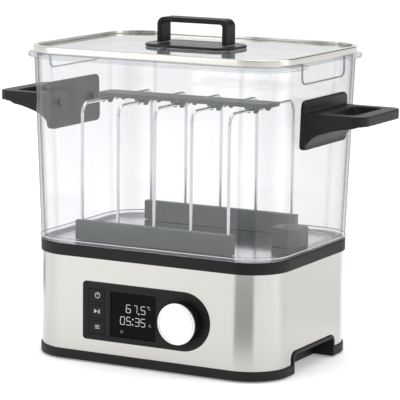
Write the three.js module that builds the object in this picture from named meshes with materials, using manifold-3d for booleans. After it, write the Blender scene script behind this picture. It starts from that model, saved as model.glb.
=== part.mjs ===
// Sous-vide water-bath cooker: a heated base that holds the electronics and a pump motor, a clear
// lift-off tank with two loop handles, a glass lid and a wire rack that keeps food pouches apart.
// Millimetres, +Z up. +X runs along the long side, the control panel faces -Y, z = 0 is the table.
import * as THREE from "three";
import { mergeVertices } from "three/addons/utils/BufferGeometryUtils.js";
import Module from "manifold-3d";

const wasm = await Module();
wasm.setup();

// ---------------------------------------------------------------- driving dimensions
const GAP = 0.3; // kept between pieces that touch
const SLIDE = 0.6; // kept between pieces that slide in one another
const CORNER_STEPS = 6; // straight steps in a quarter turn of an outline
const WIRE_SIDES = 3; // curve segments in half a wire's section

// base
const BASE_X = 125; // half length of the steel shell
const BASE_Y = 92; // half depth of the steel shell
const BASE_R = 37.5; // its corner radius
const PROUD = 1.5; // how far the skirt and the collar stand out from the shell
const SHELL_WALL = 1;
const FOOT_DROP = 1.5; // feet below the skirt
const SKIRT_HEIGHT = 8.5;
const SHELL_HEIGHT = 87.8;
const COLLAR_HEIGHT = 10.5;
const PLASTIC_WALL = 2;
const SKIRT_WALL = 3.5;
const PAN_FLOOR = 2.5;
const LIP_HEIGHT = 6; // locating lips that reach inside the shell
const DECK_DROP = 3; // collar deck below the collar's top edge
const FOOT_INSET_X = 29; // middle of a foot from the shell's side
const FOOT_INSET_Y = 28;

// hand notches in the short sides
const NOTCH_CLEAR = 10.2; // from a notch's end to where the shell's corner starts
const NOTCH_TOP = 22;
const NOTCH_DEPTH = 22;
const NOTCH_WALL = 3.7;
const NOTCH_R = 7;

// control panel
const PANEL_LEFT = -64.6;
const PANEL_LENGTH = 130.7;
const PANEL_HALF = 27; // half height, and the radius of its round end
const PANEL_RISE = 39.3; // middle of the panel above the shell's lower edge
const PANEL_R = 3;
const PANEL_STEP = 1.5; // panel face in front of the shell
const PANEL_DEPTH = 7;
const DISPLAY_X = -11.7;
const DISPLAY_HALF_X = 23.7;
const DISPLAY_HALF_Z = 20.9;
const DISPLAY_DZ = -0.9;
const WINDOW_DROP = 0.8; // window face behind the panel face
const WINDOW_THICK = 1.4;
const REBATE = 1.5; // ledge that the window sits on
const BUTTON_X = -50.3;
const BUTTON_HALF_X = 8.85;
const BUTTON_HALF_Z = 6.4;
const BUTTON_PITCH = 14.7;
const BUTTON_TRAVEL = 1;
const BUTTON_LIP = 1.2;
const SWITCH_HEIGHT = 3;

// knob and encoder
const KNOB_R = 19.3;
const KNOB_REACH = 12; // knob face in front of the panel face
const KNOB_CAP = 2.4;
const SHAFT_R = 3;
const BUSHING_R = 4.5;

// tank
const TANK_PROUD_X = 0.4; // foot of the wall outside the shell below it
const TANK_PROUD_Y = 0.9;
const TANK_ROUND = 1; // its corner radius is this much smaller
const TANK_FLARE = 5.5; // how much further out the wall is at the top, for draft
const TANK_HEIGHT = 173.3; // from the foot to the top of the flange
const TANK_WALL = 2.5;
const FOOT_STEP = 0.8; // the foot band stands out this far
const FOOT_BAND = 3.7;
const FLANGE = 5.3;
const FLANGE_THICK = 4;
const LEDGE = 6; // inward ledge that the steel floor is sealed against
const LEDGE_THICK = 1.9;
const FLOOR_THICK = 1.3;
const SEAL_THICK = 1.5;
const POCKET_CLEAR = 12.4; // from a side pocket's end to where the tank's corner starts
const POCKET_LOW = 18.2; // how far it runs down from the tank's top edge
const POCKET_DEEP = 1.2;
const POCKET_R = 6;

// tank handles
const HANDLE_OUT = 53.8; // grip's outer face from the flange's edge
const HANDLE_DROP = 43.5; // grip's top face below the tank's top edge
const GRIP_THICK = 9;
const GRIP_DEPTH = 14.5;
const ARM_WIDTH = 11;
const HANDLE_R = 12;
const WEB = 14; // solid stretch between the plate and the opening
const PLATE_CLEAR = 10.9; // from the plate's end to where the tank's corner starts
const PLATE_THICK = 4;
const PLATE_UP = 11.1; // plate above the grip's top face
const PLATE_DOWN = 33.4; // and below it
const PLATE_R = 6;
const GRIP_INSET = 2.5; // from the plate's end to the loop's side
const SCREW_R = 2;
const SCREW_HEAD_R = 4.2;
const SCREW_INSET = 15.5; // from the plate's end

// lid
const RIM_INSET = 4.4; // lid rim inside the flange's edge
const RIM_HEIGHT = 6.6;
const RIM_WIDTH = 4.5;
const GLASS_THICK = 3;
const GLASS_DROP = 2.5; // glass below the rim's top
const SEAL_DROP = 4; // lid seal below the flange's top
const LID_SEAL_WALL = 2.2;
const STRAP_HALF = 36;
const STRAP_HEIGHT = 24;
const STRAP_THICK = 4.5;
const STRAP_WIDTH = 19;
const STRAP_R = 7;
const LID_PLATE_HALF_X = 46;
const LID_PLATE_HALF_Y = 27;
const LID_PLATE_R = 18;
const LID_PLATE_THICK = 2.7;
const LID_SCREW_R = 1.3;

// rack
const RACK_CLEAR_LEFT = 37.4; // from the left end of the rails to the tank's wall
const RACK_CLEAR_RIGHT = 6; // from their right end to the pump cover
const RAIL_CLEAR = 27.9; // from the middle of a rail to the tank's wall
const RAIL_THICK = 8;
const RAIL_HEIGHT = 18.2;
const HOOPS = 5;
const HOOP_INSET = 5.5; // first and last hoop from the rails' ends
const WIRE_R = 1.5;
const HOOP_DROP = 46.8; // hoops are this much lower than the tank is tall
const HOOP_BEND = 10;
const HOOP_SINK = 12; // how deep a leg sits in its rail
const COMB_HALF = 88.7;
const COMB_SHIFT = 2.7; // middle of the comb to the right of the rack's
const COMB_FRONT = -22;
const COMB_WIDTH = 27;
const COMB_THICK = 3.8;
const TOOTH_THICK = 2;
const TOOTH_DROP = 5;
const TOOTH_HALF = 5.8; // outside of a pair of teeth
const TOOTH_SHOULDER = 3; // how far the shoulders flare
const TOOTH_TAPER = 0.6;

// circulation pump
const PUMP_Y = 8;
const PUMP_HALF_X = 14.5;
const PUMP_HALF_Y = 12.5;
const PUMP_CLEAR = 6.9; // from the cover to the ledge in the tank
const PUMP_HEIGHT = 17.4;
const PUMP_WALL = 1.8;
const IMPELLER_R = 9.5;
const MAGNET_R = 12;
const MOTOR_R = 17;
const MOTOR_HEIGHT = 28;
const ROTOR_SHAFT_R = 1.5;

// heater
const HEATER_INSET_X = 19; // from the shell's side to the plate's left end
const HEATER_INSET_Y = 32;
const HEATER_TO_PUMP = 16; // from the plate's right end to the magnet
const HEATER_R = 12;
const HEATER_FLANGE = 4;
const ELEMENT_R = 3.2;
const ELEMENT_SAG = 1.4; // room for the bend at its two ends
const PROBE_R = 4;

// cord gland
const GLAND_X = BASE_X - 55;
const GLAND_Z = 26;
const GLAND_R = 6;
const GLAND_BORE = 3.6;

// ---------------------------------------------------------------- levels and faces that follow
const Z_SKIRT = FOOT_DROP;
const Z_SHELL = Z_SKIRT + SKIRT_HEIGHT;
const Z_COLLAR = Z_SHELL + SHELL_HEIGHT;
const Z_COLLAR_TOP = Z_COLLAR + COLLAR_HEIGHT;
const Z_DECK = Z_COLLAR_TOP - DECK_DROP;
const Z_TANK = Z_COLLAR_TOP + GAP;
const Z_TANK_TOP = Z_TANK + TANK_HEIGHT;
const PANEL_Z = Z_SHELL + PANEL_RISE;
const Z_LEDGE = Z_TANK + FOOT_BAND - LEDGE_THICK;
const Z_FLOOR = Z_LEDGE - GAP - SEAL_THICK - GAP; // top of the steel floor
const Z_HEATER = Z_FLOOR - FLOOR_THICK - GAP;
const Z_STAND = Z_FLOOR + GAP; // where the rack and the pump cover stand
const Z_RIM = Z_TANK_TOP + GAP;
const Z_RIM_TOP = Z_RIM + RIM_HEIGHT;
const Z_GLASS_TOP = Z_RIM_TOP - GLASS_DROP;
const Z_GLASS = Z_GLASS_TOP - GLASS_THICK;
const Z_LID_PLATE_TOP = Z_GLASS_TOP + GAP + LID_PLATE_THICK;

const FACE = -BASE_Y - PANEL_STEP; // panel face, along Y
const PANEL_BACK = FACE + PANEL_DEPTH;
const KNOB_X = PANEL_LEFT + PANEL_LENGTH - PANEL_HALF; // centre of the round end
const Z_DISPLAY = PANEL_Z + DISPLAY_DZ;
const WINDOW_FACE = FACE + WINDOW_DROP;
const WINDOW_BACK = WINDOW_FACE + WINDOW_THICK;
const LIP_BACK = PANEL_BACK + GAP + BUTTON_LIP;
const SWITCH_TIP = LIP_BACK + BUTTON_TRAVEL + GAP / 3;
const SWITCH_FACE = SWITCH_TIP + BUTTON_TRAVEL + GAP;
const BOARD_FACE = SWITCH_FACE + SWITCH_HEIGHT + GAP;
const BOARD_THICK = 1.6;
const BOARD_INSET = 41; // power board from the shell's left side
const BOARD_LENGTH = 100;

const FOOT_X = BASE_X - FOOT_INSET_X;
const FOOT_Y = BASE_Y - FOOT_INSET_Y;
const NOTCH_HALF = BASE_Y - BASE_R - NOTCH_CLEAR;

const TANK_X = BASE_X + TANK_PROUD_X; // half length of the wall at its foot
const TANK_Y = BASE_Y + TANK_PROUD_Y;
const TANK_R = BASE_R - TANK_ROUND;
const POCKET_HALF = TANK_Y - TANK_R - POCKET_CLEAR;
const FLANGE_X = TANK_X + TANK_FLARE + FLANGE;
const FLANGE_Y = TANK_Y + TANK_FLARE + FLANGE;
const TANK_TOP_R = (TANK_R * (TANK_X + TANK_FLARE)) / TANK_X; // corner radius at the mouth
const FLANGE_R = TANK_TOP_R + FLANGE;
const RIM_X = FLANGE_X - RIM_INSET;
const RIM_Y = FLANGE_Y - RIM_INSET;
const RIM_R = FLANGE_R - RIM_INSET;
const KNOB_FACE = FACE - KNOB_REACH;

const HANDLE_REACH = FLANGE_X + HANDLE_OUT;
const HANDLE_TOP = Z_TANK_TOP - HANDLE_DROP;
const PLATE_LOW = HANDLE_TOP - PLATE_DOWN;
const PLATE_HIGH = HANDLE_TOP + PLATE_UP;
const PLATE_HALF = TANK_Y - TANK_R - PLATE_CLEAR;
const HANDLE_HALF = PLATE_HALF - GRIP_INSET;
const SCREW_SPREAD = PLATE_HALF - SCREW_INSET;
const Z_SCREW = HANDLE_TOP - GRIP_THICK;

const PUMP_X = TANK_X - TANK_WALL - LEDGE - PUMP_CLEAR - PUMP_HALF_X;
const RACK_LEFT = RACK_CLEAR_LEFT - TANK_X;
const RACK_RIGHT = PUMP_X - PUMP_HALF_X - RACK_CLEAR_RIGHT;
const RACK_X = (RACK_LEFT + RACK_RIGHT) / 2;
const RAIL_HALF = (RACK_RIGHT - RACK_LEFT) / 2;
const RAIL_Y = TANK_Y - RAIL_CLEAR;
const HOOP_PITCH = (2 * (RAIL_HALF - HOOP_INSET)) / (HOOPS - 1);
const HOOP_HEIGHT = TANK_HEIGHT - HOOP_DROP; // wire centre above the rack's foot

const HEATER_LEFT = HEATER_INSET_X - BASE_X;
const HEATER_RIGHT = PUMP_X - MAGNET_R - HEATER_TO_PUMP;
const HEATER_X = (HEATER_LEFT + HEATER_RIGHT) / 2;
const HEATER_HALF_X = (HEATER_RIGHT - HEATER_LEFT) / 2;
const HEATER_HALF_Y = BASE_Y - HEATER_INSET_Y;

// ---------------------------------------------------------------- shape helpers
function roundedRectangle(halfX, halfY, radius, steps = CORNER_STEPS) {
  const shape = new THREE.Shape();
  const corners = [
    [halfX - radius, halfY - radius, 0],
    [radius - halfX, halfY - radius, 1],
    [radius - halfX, radius - halfY, 2],
    [halfX - radius, radius - halfY, 3],
  ];
  const points = corners.flatMap(([x, y, quarter]) =>
    Array.from({ length: steps + 1 }, (_, i) => {
      const turn = ((quarter + i / steps) * Math.PI) / 2;
      return new THREE.Vector2(x + radius * Math.cos(turn), y + radius * Math.sin(turn));
    }),
  );
  return shape.setFromPoints(points);
}

// A straight prism of a flat outline, from low to high along Z.
function prism(shape, low, high) {
  const geometry = new THREE.ExtrudeGeometry(shape, { depth: high - low, bevelEnabled: false });
  return geometry.translate(0, 0, low);
}

// A rounded box whose section grows from its foot to its top.
function flaredPrism(halfX, halfY, radius, flare, low, high) {
  const geometry = prism(roundedRectangle(halfX, halfY, radius), low, high);
  const position = geometry.getAttribute("position");
  for (let i = 0; i < position.count; i++) {
    if (position.getZ(i) < (low + high) / 2) continue;
    position.setX(i, (position.getX(i) * (halfX + flare)) / halfX);
    position.setY(i, (position.getY(i) * (halfY + flare)) / halfY);
  }
  return geometry;
}

function box(x0, x1, y0, y1, z0, z1) {
  const geometry = new THREE.BoxGeometry(x1 - x0, y1 - y0, z1 - z0);
  return geometry.translate((x0 + x1) / 2, (y0 + y1) / 2, (z0 + z1) / 2);
}

// A round bar between two heights, its axis along Z.
function bar(x, y, radius, low, high, sides = 20) {
  const geometry = new THREE.CylinderGeometry(radius, radius, high - low, sides);
  return geometry.rotateX(Math.PI / 2).translate(x, y, (low + high) / 2);
}

// A round bar along Y.
function barAlongY(x, z, radius, front, back, sides = 20) {
  const geometry = new THREE.CylinderGeometry(radius, radius, back - front, sides);
  return geometry.translate(x, (front + back) / 2, z);
}

// A round bar along X.
function barAlongX(y, z, radius, from, to, sides = 20) {
  const geometry = new THREE.CylinderGeometry(radius, radius, Math.abs(to - from), sides);
  return geometry.rotateZ(Math.PI / 2).translate((from + to) / 2, y, z);
}

// A turned piece about Z: a closed outline of [radius, height] points.
function turned(points, sides = 24) {
  const outline = points.map(([r, z]) => new THREE.Vector2(r, z));
  return new THREE.LatheGeometry(outline, sides).rotateX(Math.PI / 2);
}

// A prism of an outline drawn in X and Z, from front to back along Y.
function prismAlongY(shape, front, back) {
  const geometry = new THREE.ExtrudeGeometry(shape, {
    depth: back - front,
    bevelEnabled: false,
    curveSegments: CORNER_STEPS,
  });
  return geometry.rotateX(Math.PI / 2).translate(0, back, 0);
}

// A prism of an outline drawn in Y and Z, along X.
function prismAlongX(shape, from, to) {
  const geometry = new THREE.ExtrudeGeometry(shape, {
    depth: to - from,
    bevelEnabled: false,
    curveSegments: 4,
  });
  return geometry.rotateX(Math.PI / 2).rotateZ(Math.PI / 2).translate(from, 0, 0);
}

function solid(geometry) {
  const bare = (geometry.index ? geometry.toNonIndexed() : geometry.clone())
    .deleteAttribute("normal")
    .deleteAttribute("uv");
  const merged = mergeVertices(bare, 1e-4);
  const mesh = new wasm.Mesh({
    numProp: 3,
    vertProperties: new Float32Array(merged.attributes.position.array),
    triVerts: new Uint32Array(merged.index.array),
  });
  return new wasm.Manifold(mesh);
}

const join = (...pieces) => pieces.map(solid).reduce((a, b) => a.add(b));
const cut = (body, ...pieces) => pieces.map(solid).reduce((a, b) => a.subtract(b), body);

function geometryOf(manifold) {
  const { numProp, numVert, vertProperties, triVerts } = manifold.getMesh();
  const positions = new Float32Array(numVert * 3);
  for (let i = 0; i < numVert; i++) {
    positions.set(vertProperties.subarray(i * numProp, i * numProp + 3), i * 3);
  }
  const geometry = new THREE.BufferGeometry();
  geometry.setAttribute("position", new THREE.BufferAttribute(positions, 3));
  geometry.setIndex(new THREE.BufferAttribute(new Uint32Array(triVerts), 1));
  return geometry;
}

// ---------------------------------------------------------------- finishes
const finish = (color, roughness, metalness = 0, opacity = 1) =>
  new THREE.MeshStandardMaterial({
    color,
    roughness,
    metalness,
    opacity,
    transparent: opacity < 1,
  });

const BRUSHED_STEEL = finish(0xc9c6c0, 0.38, 1);
const BRIGHT_STEEL = finish(0xd8d8d6, 0.18, 1);
const BLACK_PLASTIC = finish(0x232425, 0.45);
const GLOSS_BLACK = finish(0x0b0b0d, 0.08);
const CLEAR_TANK = finish(0xf2f5f5, 0.05, 0, 0.25);
const CLEAR_GLASS = finish(0xeef4f2, 0.03, 0, 0.25);
const CLEAR_RUBBER = finish(0xdfe3e3, 0.5, 0, 0.7);
const BLACK_RUBBER = finish(0x1a1a1a, 0.8);
const ANTHRACITE = finish(0x2f3234, 0.5);
const CAST_ALUMINIUM = finish(0xb4b6b8, 0.5, 1);
const COPPER_BOARD = finish(0x1f5a35, 0.6);
const BRASS = finish(0xb9964a, 0.35, 1);
const WHITE_PLASTIC = finish(0xe6e6e2, 0.5);

const part = new THREE.Group();
const base = new THREE.Group();
const tank = new THREE.Group();
const lid = new THREE.Group();
const rack = new THREE.Group();
tank.add(lid, rack);
part.add(base, tank);

function place(group, name, material, shape) {
  const geometry = shape.isBufferGeometry ? shape : geometryOf(shape);
  const mesh = new THREE.Mesh(geometry, material);
  mesh.name = name;
  group.add(mesh);
  return mesh;
}

// ---------------------------------------------------------------- base: pan, feet, shell, collar
const ring = (outer, inner, low, high) =>
  cut(solid(prism(outer, low, high)), prism(inner, low - 1, high + 1));

const baseOutline = (offset) =>
  roundedRectangle(BASE_X + offset, BASE_Y + offset, BASE_R + offset);

// The space that a hand notch and its trim take out of the base, on the side that sign gives.
function notchSpace(sign, margin, top) {
  const inner = BASE_X + PROUD - NOTCH_DEPTH - margin;
  const outer = BASE_X + PROUD + 5;
  const half = NOTCH_HALF + margin;
  const shape = new THREE.Shape();
  shape.moveTo(-half, -5);
  shape.lineTo(half, -5);
  shape.lineTo(half, top + margin - NOTCH_R);
  shape.absarc(half - NOTCH_R, top + margin - NOTCH_R, NOTCH_R, 0, Math.PI / 2);
  shape.lineTo(NOTCH_R - half, top + margin);
  shape.absarc(NOTCH_R - half, top + margin - NOTCH_R, NOTCH_R, Math.PI / 2, Math.PI);
  const geometry = prismAlongX(shape, inner, outer);
  return sign > 0 ? geometry : geometry.rotateZ(Math.PI);
}

const FOOT_R = 9;
const FOOT_STEM_R = 2.5;
const Z_PAN_FLOOR = Z_SKIRT + 2.5; // underside of the pan's floor
const Z_PAN_TOP = Z_PAN_FLOOR + PAN_FLOOR;
const feet = [
  ["front_left", -1, -1],
  ["front_right", 1, -1],
  ["rear_left", -1, 1],
  ["rear_right", 1, 1],
];

const BOARD_LEFT = -(BASE_X - BOARD_INSET);
const MAIN_BOARD = {
  x0: BOARD_LEFT,
  x1: BOARD_LEFT + BOARD_LENGTH,
  y0: BASE_Y - 100,
  y1: BASE_Y - 30,
  z: Z_PAN_TOP + 8,
};
const mainPosts = [
  [MAIN_BOARD.x0 + 6, MAIN_BOARD.y0 + 6],
  [MAIN_BOARD.x1 - 6, MAIN_BOARD.y0 + 6],
  [MAIN_BOARD.x0 + 6, MAIN_BOARD.y1 - 6],
  [MAIN_BOARD.x1 - 6, MAIN_BOARD.y1 - 6],
];

function basePan() {
  const skirt = ring(baseOutline(PROUD), baseOutline(PROUD - SKIRT_WALL), Z_SKIRT, Z_SHELL);
  const lipOuter = -SHELL_WALL - GAP;
  const lip = ring(
    baseOutline(lipOuter),
    baseOutline(lipOuter - PLASTIC_WALL),
    Z_PAN_TOP,
    Z_SHELL + LIP_HEIGHT,
  );
  const floor = solid(prism(baseOutline(-SHELL_WALL), Z_PAN_FLOOR, Z_PAN_TOP));
  const posts = mainPosts.map(([x, y]) => bar(x, y, 3.5, Z_PAN_TOP - 1, MAIN_BOARD.z - GAP, 12));
  const body = skirt.add(lip).add(floor).add(join(...posts));
  return cut(
    body,
    notchSpace(1, GAP, NOTCH_TOP),
    notchSpace(-1, GAP, NOTCH_TOP),
    ...feet.map(([, sx, sy]) => bar(sx * FOOT_X, sy * FOOT_Y, FOOT_STEM_R + GAP, 0, 10, 12)),
  );
}

function rubberFoot(sx, sy) {
  const top = Z_PAN_FLOOR - GAP;
  const foot = turned([
    [0, 0],
    [FOOT_R - 1, 0],
    [FOOT_R, 1],
    [FOOT_R, top],
    [FOOT_STEM_R, top],
    [FOOT_STEM_R, Z_PAN_TOP + 1],
    [0, Z_PAN_TOP + 1],
  ], 14);
  return foot.translate(sx * FOOT_X, sy * FOOT_Y, 0);
}

// Outline of the control panel in X and Z: small corners on the left, one round end on the right.
function panelOutline(inset) {
  const half = PANEL_HALF - inset;
  const left = PANEL_LEFT + inset;
  const shape = new THREE.Shape();
  shape.moveTo(left + PANEL_R, PANEL_Z - half);
  shape.lineTo(KNOB_X, PANEL_Z - half);
  shape.absarc(KNOB_X, PANEL_Z, half, -Math.PI / 2, Math.PI / 2);
  shape.lineTo(left + PANEL_R, PANEL_Z + half);
  shape.absarc(left + PANEL_R, PANEL_Z + half - PANEL_R, PANEL_R, Math.PI / 2, Math.PI);
  shape.absarc(left + PANEL_R, PANEL_Z - half + PANEL_R, PANEL_R, Math.PI, 1.5 * Math.PI);
  return shape;
}

const PANEL_LAP = 2; // bezel over the edge of the shell's opening

function steelShell() {
  const wall = ring(baseOutline(0), baseOutline(-SHELL_WALL), Z_SHELL + GAP, Z_COLLAR - GAP);
  return cut(
    wall,
    prismAlongY(panelOutline(PANEL_LAP - GAP), -BASE_Y - 5, -BASE_Y + 5),
    notchSpace(1, GAP, NOTCH_TOP),
    notchSpace(-1, GAP, NOTCH_TOP),
    barAlongY(GLAND_X, GLAND_Z, GLAND_R + GAP, BASE_Y - 5, BASE_Y + 5),
  );
}

function notchTrim(sign) {
  const block = notchSpace(sign, 0, NOTCH_TOP);
  const far = BASE_X + PROUD;
  const hollowTop = NOTCH_TOP - NOTCH_WALL;
  const inner = far - NOTCH_DEPTH + PLASTIC_WALL;
  const half = NOTCH_HALF - NOTCH_WALL;
  const reach = (x0, x1) => (sign > 0 ? [x0, x1] : [-x1, -x0]);
  const [h0, h1] = reach(inner, far + 9);
  const [o0, o1] = reach(far, far + 20);
  return cut(
    solid(block),
    box(h0, h1, -half, half, -20, hollowTop),
    box(o0, o1, -100, 100, -20, 100),
    box(-200, 200, -100, 100, -20, Z_SKIRT),
  );
}

function collar() {
  const wall = ring(
    baseOutline(PROUD),
    baseOutline(PROUD - PLASTIC_WALL * 1.6),
    Z_COLLAR,
    Z_COLLAR_TOP,
  );
  const lipOuter = -SHELL_WALL - GAP;
  const lip = ring(
    baseOutline(lipOuter),
    baseOutline(lipOuter - PLASTIC_WALL),
    Z_COLLAR - LIP_HEIGHT,
    Z_DECK,
  );
  const deck = solid(prism(baseOutline(-SHELL_WALL), Z_DECK - PLASTIC_WALL, Z_DECK));
  const opening = prism(
    roundedRectangle(HEATER_HALF_X + SLIDE, HEATER_HALF_Y + SLIDE, HEATER_R + SLIDE),
    Z_DECK - 20,
    Z_DECK + 20,
  ).translate(HEATER_X, 0, 0);
  return cut(wall.add(lip).add(deck), opening);
}

function cordGland() {
  const front = BASE_Y - SHELL_WALL - 8;
  const body = join(
    barAlongY(GLAND_X, GLAND_Z, GLAND_R, front, BASE_Y + GAP + 1),
    barAlongY(GLAND_X, GLAND_Z, GLAND_R + 2.5, BASE_Y + GAP, BASE_Y + GAP + 3),
  );
  return cut(body, barAlongY(GLAND_X, GLAND_Z, GLAND_BORE, front - 5, BASE_Y + 20, 16));
}

place(base, "base_pan", BLACK_PLASTIC, basePan());
for (const [name, sx, sy] of feet) {
  place(base, "foot_" + name, BLACK_RUBBER, rubberFoot(sx, sy));
}
place(base, "steel_shell", BRUSHED_STEEL, steelShell());
place(base, "notch_trim_right", BLACK_PLASTIC, notchTrim(1));
place(base, "notch_trim_left", BLACK_PLASTIC, notchTrim(-1));
place(base, "collar", BLACK_PLASTIC, collar());
place(base, "cord_gland", BLACK_RUBBER, cordGland());

// ---------------------------------------------------------------- control panel
const buttons = [
  ["power", 1],
  ["start", 0],
  ["menu", -1],
];
const STANDOFF_R = 1.4;
const buttonZ = (row) => PANEL_Z - 0.5 + row * BUTTON_PITCH;

function panelBezel() {
  const flange = prismAlongY(panelOutline(0), FACE, -BASE_Y - GAP);
  const plug = prismAlongY(panelOutline(PANEL_LAP), -BASE_Y - GAP - 0.2, PANEL_BACK);
  const inset = PANEL_LAP + STANDOFF_R + 0.2;
  const standoffs = [
    [PANEL_LEFT + inset, PANEL_Z + PANEL_HALF - inset],
    [PANEL_LEFT + inset, PANEL_Z - PANEL_HALF + inset],
    [KNOB_X - 8, PANEL_Z + PANEL_HALF - inset],
    [KNOB_X - 8, PANEL_Z - PANEL_HALF + inset],
  ].map(([x, z]) => barAlongY(x, z, STANDOFF_R, PANEL_BACK - 1, BOARD_FACE - GAP, 10));
  const x0 = DISPLAY_X - DISPLAY_HALF_X;
  const x1 = DISPLAY_X + DISPLAY_HALF_X;
  const z0 = Z_DISPLAY - DISPLAY_HALF_Z;
  const z1 = Z_DISPLAY + DISPLAY_HALF_Z;
  return cut(
    join(flange, plug, ...standoffs),
    box(x0, x1, FACE - 5, WINDOW_BACK + GAP, z0, z1),
    box(x0 + REBATE, x1 - REBATE, FACE - 5, PANEL_BACK + 5, z0 + REBATE, z1 - REBATE),
    ...buttons.map(([, row]) =>
      box(
        BUTTON_X - BUTTON_HALF_X,
        BUTTON_X + BUTTON_HALF_X,
        FACE - 5,
        PANEL_BACK + 1,
        buttonZ(row) - BUTTON_HALF_Z,
        buttonZ(row) + BUTTON_HALF_Z,
      ),
    ),
    barAlongY(KNOB_X, PANEL_Z, BUSHING_R + SLIDE, FACE - 5, PANEL_BACK + 5),
  );
}

function displayWindow() {
  return box(
    DISPLAY_X - DISPLAY_HALF_X + GAP,
    DISPLAY_X + DISPLAY_HALF_X - GAP,
    WINDOW_FACE,
    WINDOW_BACK,
    Z_DISPLAY - DISPLAY_HALF_Z + GAP,
    Z_DISPLAY + DISPLAY_HALF_Z - GAP,
  );
}

function displayModule() {
  const inset = REBATE + SLIDE;
  return box(
    DISPLAY_X - DISPLAY_HALF_X + inset,
    DISPLAY_X + DISPLAY_HALF_X - inset,
    WINDOW_BACK + GAP,
    BOARD_FACE - GAP,
    Z_DISPLAY - DISPLAY_HALF_Z + inset,
    Z_DISPLAY + DISPLAY_HALF_Z - inset,
  );
}

function button(row) {
  const z = buttonZ(row);
  const x = BUTTON_HALF_X - GAP;
  const h = BUTTON_HALF_Z - GAP;
  return join(
    box(BUTTON_X - x, BUTTON_X + x, FACE - GAP, LIP_BACK, z - h, z + h),
    box(
      BUTTON_X - x - GAP - 0.8,
      BUTTON_X + x + GAP + 0.8,
      PANEL_BACK + GAP,
      LIP_BACK,
      z - h,
      z + h,
    ),
  );
}

function tactSwitch(row) {
  const z = buttonZ(row);
  return join(
    box(BUTTON_X - 3, BUTTON_X + 3, SWITCH_FACE, BOARD_FACE - GAP, z - 3, z + 3),
    barAlongY(BUTTON_X, z, 1.6, SWITCH_TIP, SWITCH_FACE + 0.5, 12),
  );
}

const BUSHING_FRONT = FACE + 2;
const SHAFT_FRONT = KNOB_FACE + KNOB_CAP + 3;

function encoderBody() {
  const half = 6;
  const body = join(
    box(
      KNOB_X - half,
      KNOB_X + half,
      PANEL_BACK + GAP,
      BOARD_FACE - GAP,
      PANEL_Z - half,
      PANEL_Z + half,
    ),
    barAlongY(KNOB_X, PANEL_Z, BUSHING_R, BUSHING_FRONT, PANEL_BACK + 1),
  );
  return cut(
    body,
    barAlongY(KNOB_X, PANEL_Z, SHAFT_R + GAP, BUSHING_FRONT - 1, PANEL_BACK + 4, 16),
  );
}

function displayBoard() {
  return box(
    PANEL_LEFT + 2,
    KNOB_X + 14,
    BOARD_FACE,
    BOARD_FACE + BOARD_THICK,
    PANEL_Z - PANEL_HALF + 2,
    PANEL_Z + PANEL_HALF - 2,
  );
}

function knobBody() {
  const body = join(
    barAlongY(KNOB_X, PANEL_Z, KNOB_R - 0.4, KNOB_FACE + KNOB_CAP + GAP, FACE - SLIDE, 40),
  );
  return cut(body, barAlongY(KNOB_X, PANEL_Z, SHAFT_R + GAP, SHAFT_FRONT - GAP, FACE + 5, 16));
}

place(base, "panel_bezel", BLACK_PLASTIC, panelBezel());
place(base, "display_window", GLOSS_BLACK, displayWindow());
place(base, "display_module", WHITE_PLASTIC, displayModule());
for (const [name, row] of buttons) {
  place(base, "button_" + name, BLACK_PLASTIC, button(row));
  place(base, "switch_" + name, WHITE_PLASTIC, tactSwitch(row));
}
place(base, "encoder_body", CAST_ALUMINIUM, encoderBody());
place(base, "display_board", COPPER_BOARD, displayBoard());
place(base, "knob_body", BLACK_PLASTIC, knobBody());
place(
  base,
  "knob_cap",
  BRIGHT_STEEL,
  barAlongY(KNOB_X, PANEL_Z, KNOB_R, KNOB_FACE, KNOB_FACE + KNOB_CAP, 48),
);
place(
  base,
  "encoder_shaft",
  BRIGHT_STEEL,
  barAlongY(KNOB_X, PANEL_Z, SHAFT_R, SHAFT_FRONT, PANEL_BACK + 3.5, 16),
);

// ---------------------------------------------------------------- power electronics and heater
function mainBoard() {
  const { x0, x1, y0, y1, z } = MAIN_BOARD;
  return join(
    box(x0, x1, y0, y1, z, z + BOARD_THICK),
    box(x0 + 16, x0 + 46, y0 + 20, y0 + 46, z + 1, z + 24),
    box(x0 + 54, x0 + 72, y0 + 38, y0 + 54, z + 1, z + 17),
    box(x0 + 76, x0 + 94, y0 + 38, y0 + 54, z + 1, z + 17),
    bar(x0 + 62, y0 + 20, 8, z + 1, z + 26, 16),
    bar(x0 + 82, y0 + 20, 6, z + 1, z + 20, 16),
    box(x0 + 16, x0 + 40, y0 + 54, y0 + 58, z + 1, z + 22),
  );
}

const Z_HEATER_FLANGE = Z_DECK - PLASTIC_WALL - GAP;
const Z_HEATER_LOW = Z_HEATER_FLANGE - 2.5;

function heatingPlate() {
  const grow = HEATER_FLANGE;
  const body = join(
    prism(roundedRectangle(HEATER_HALF_X, HEATER_HALF_Y, HEATER_R), Z_HEATER_LOW, Z_HEATER),
    prism(
      roundedRectangle(HEATER_HALF_X + grow, HEATER_HALF_Y + grow, HEATER_R + grow),
      Z_HEATER_LOW,
      Z_HEATER_FLANGE,
    ),
  );
  return cut(body, bar(0, 0, PROBE_R + GAP, Z_HEATER_LOW - 5, Z_HEATER + 5)).translate([
    HEATER_X,
    0,
    0,
  ]);
}

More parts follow.
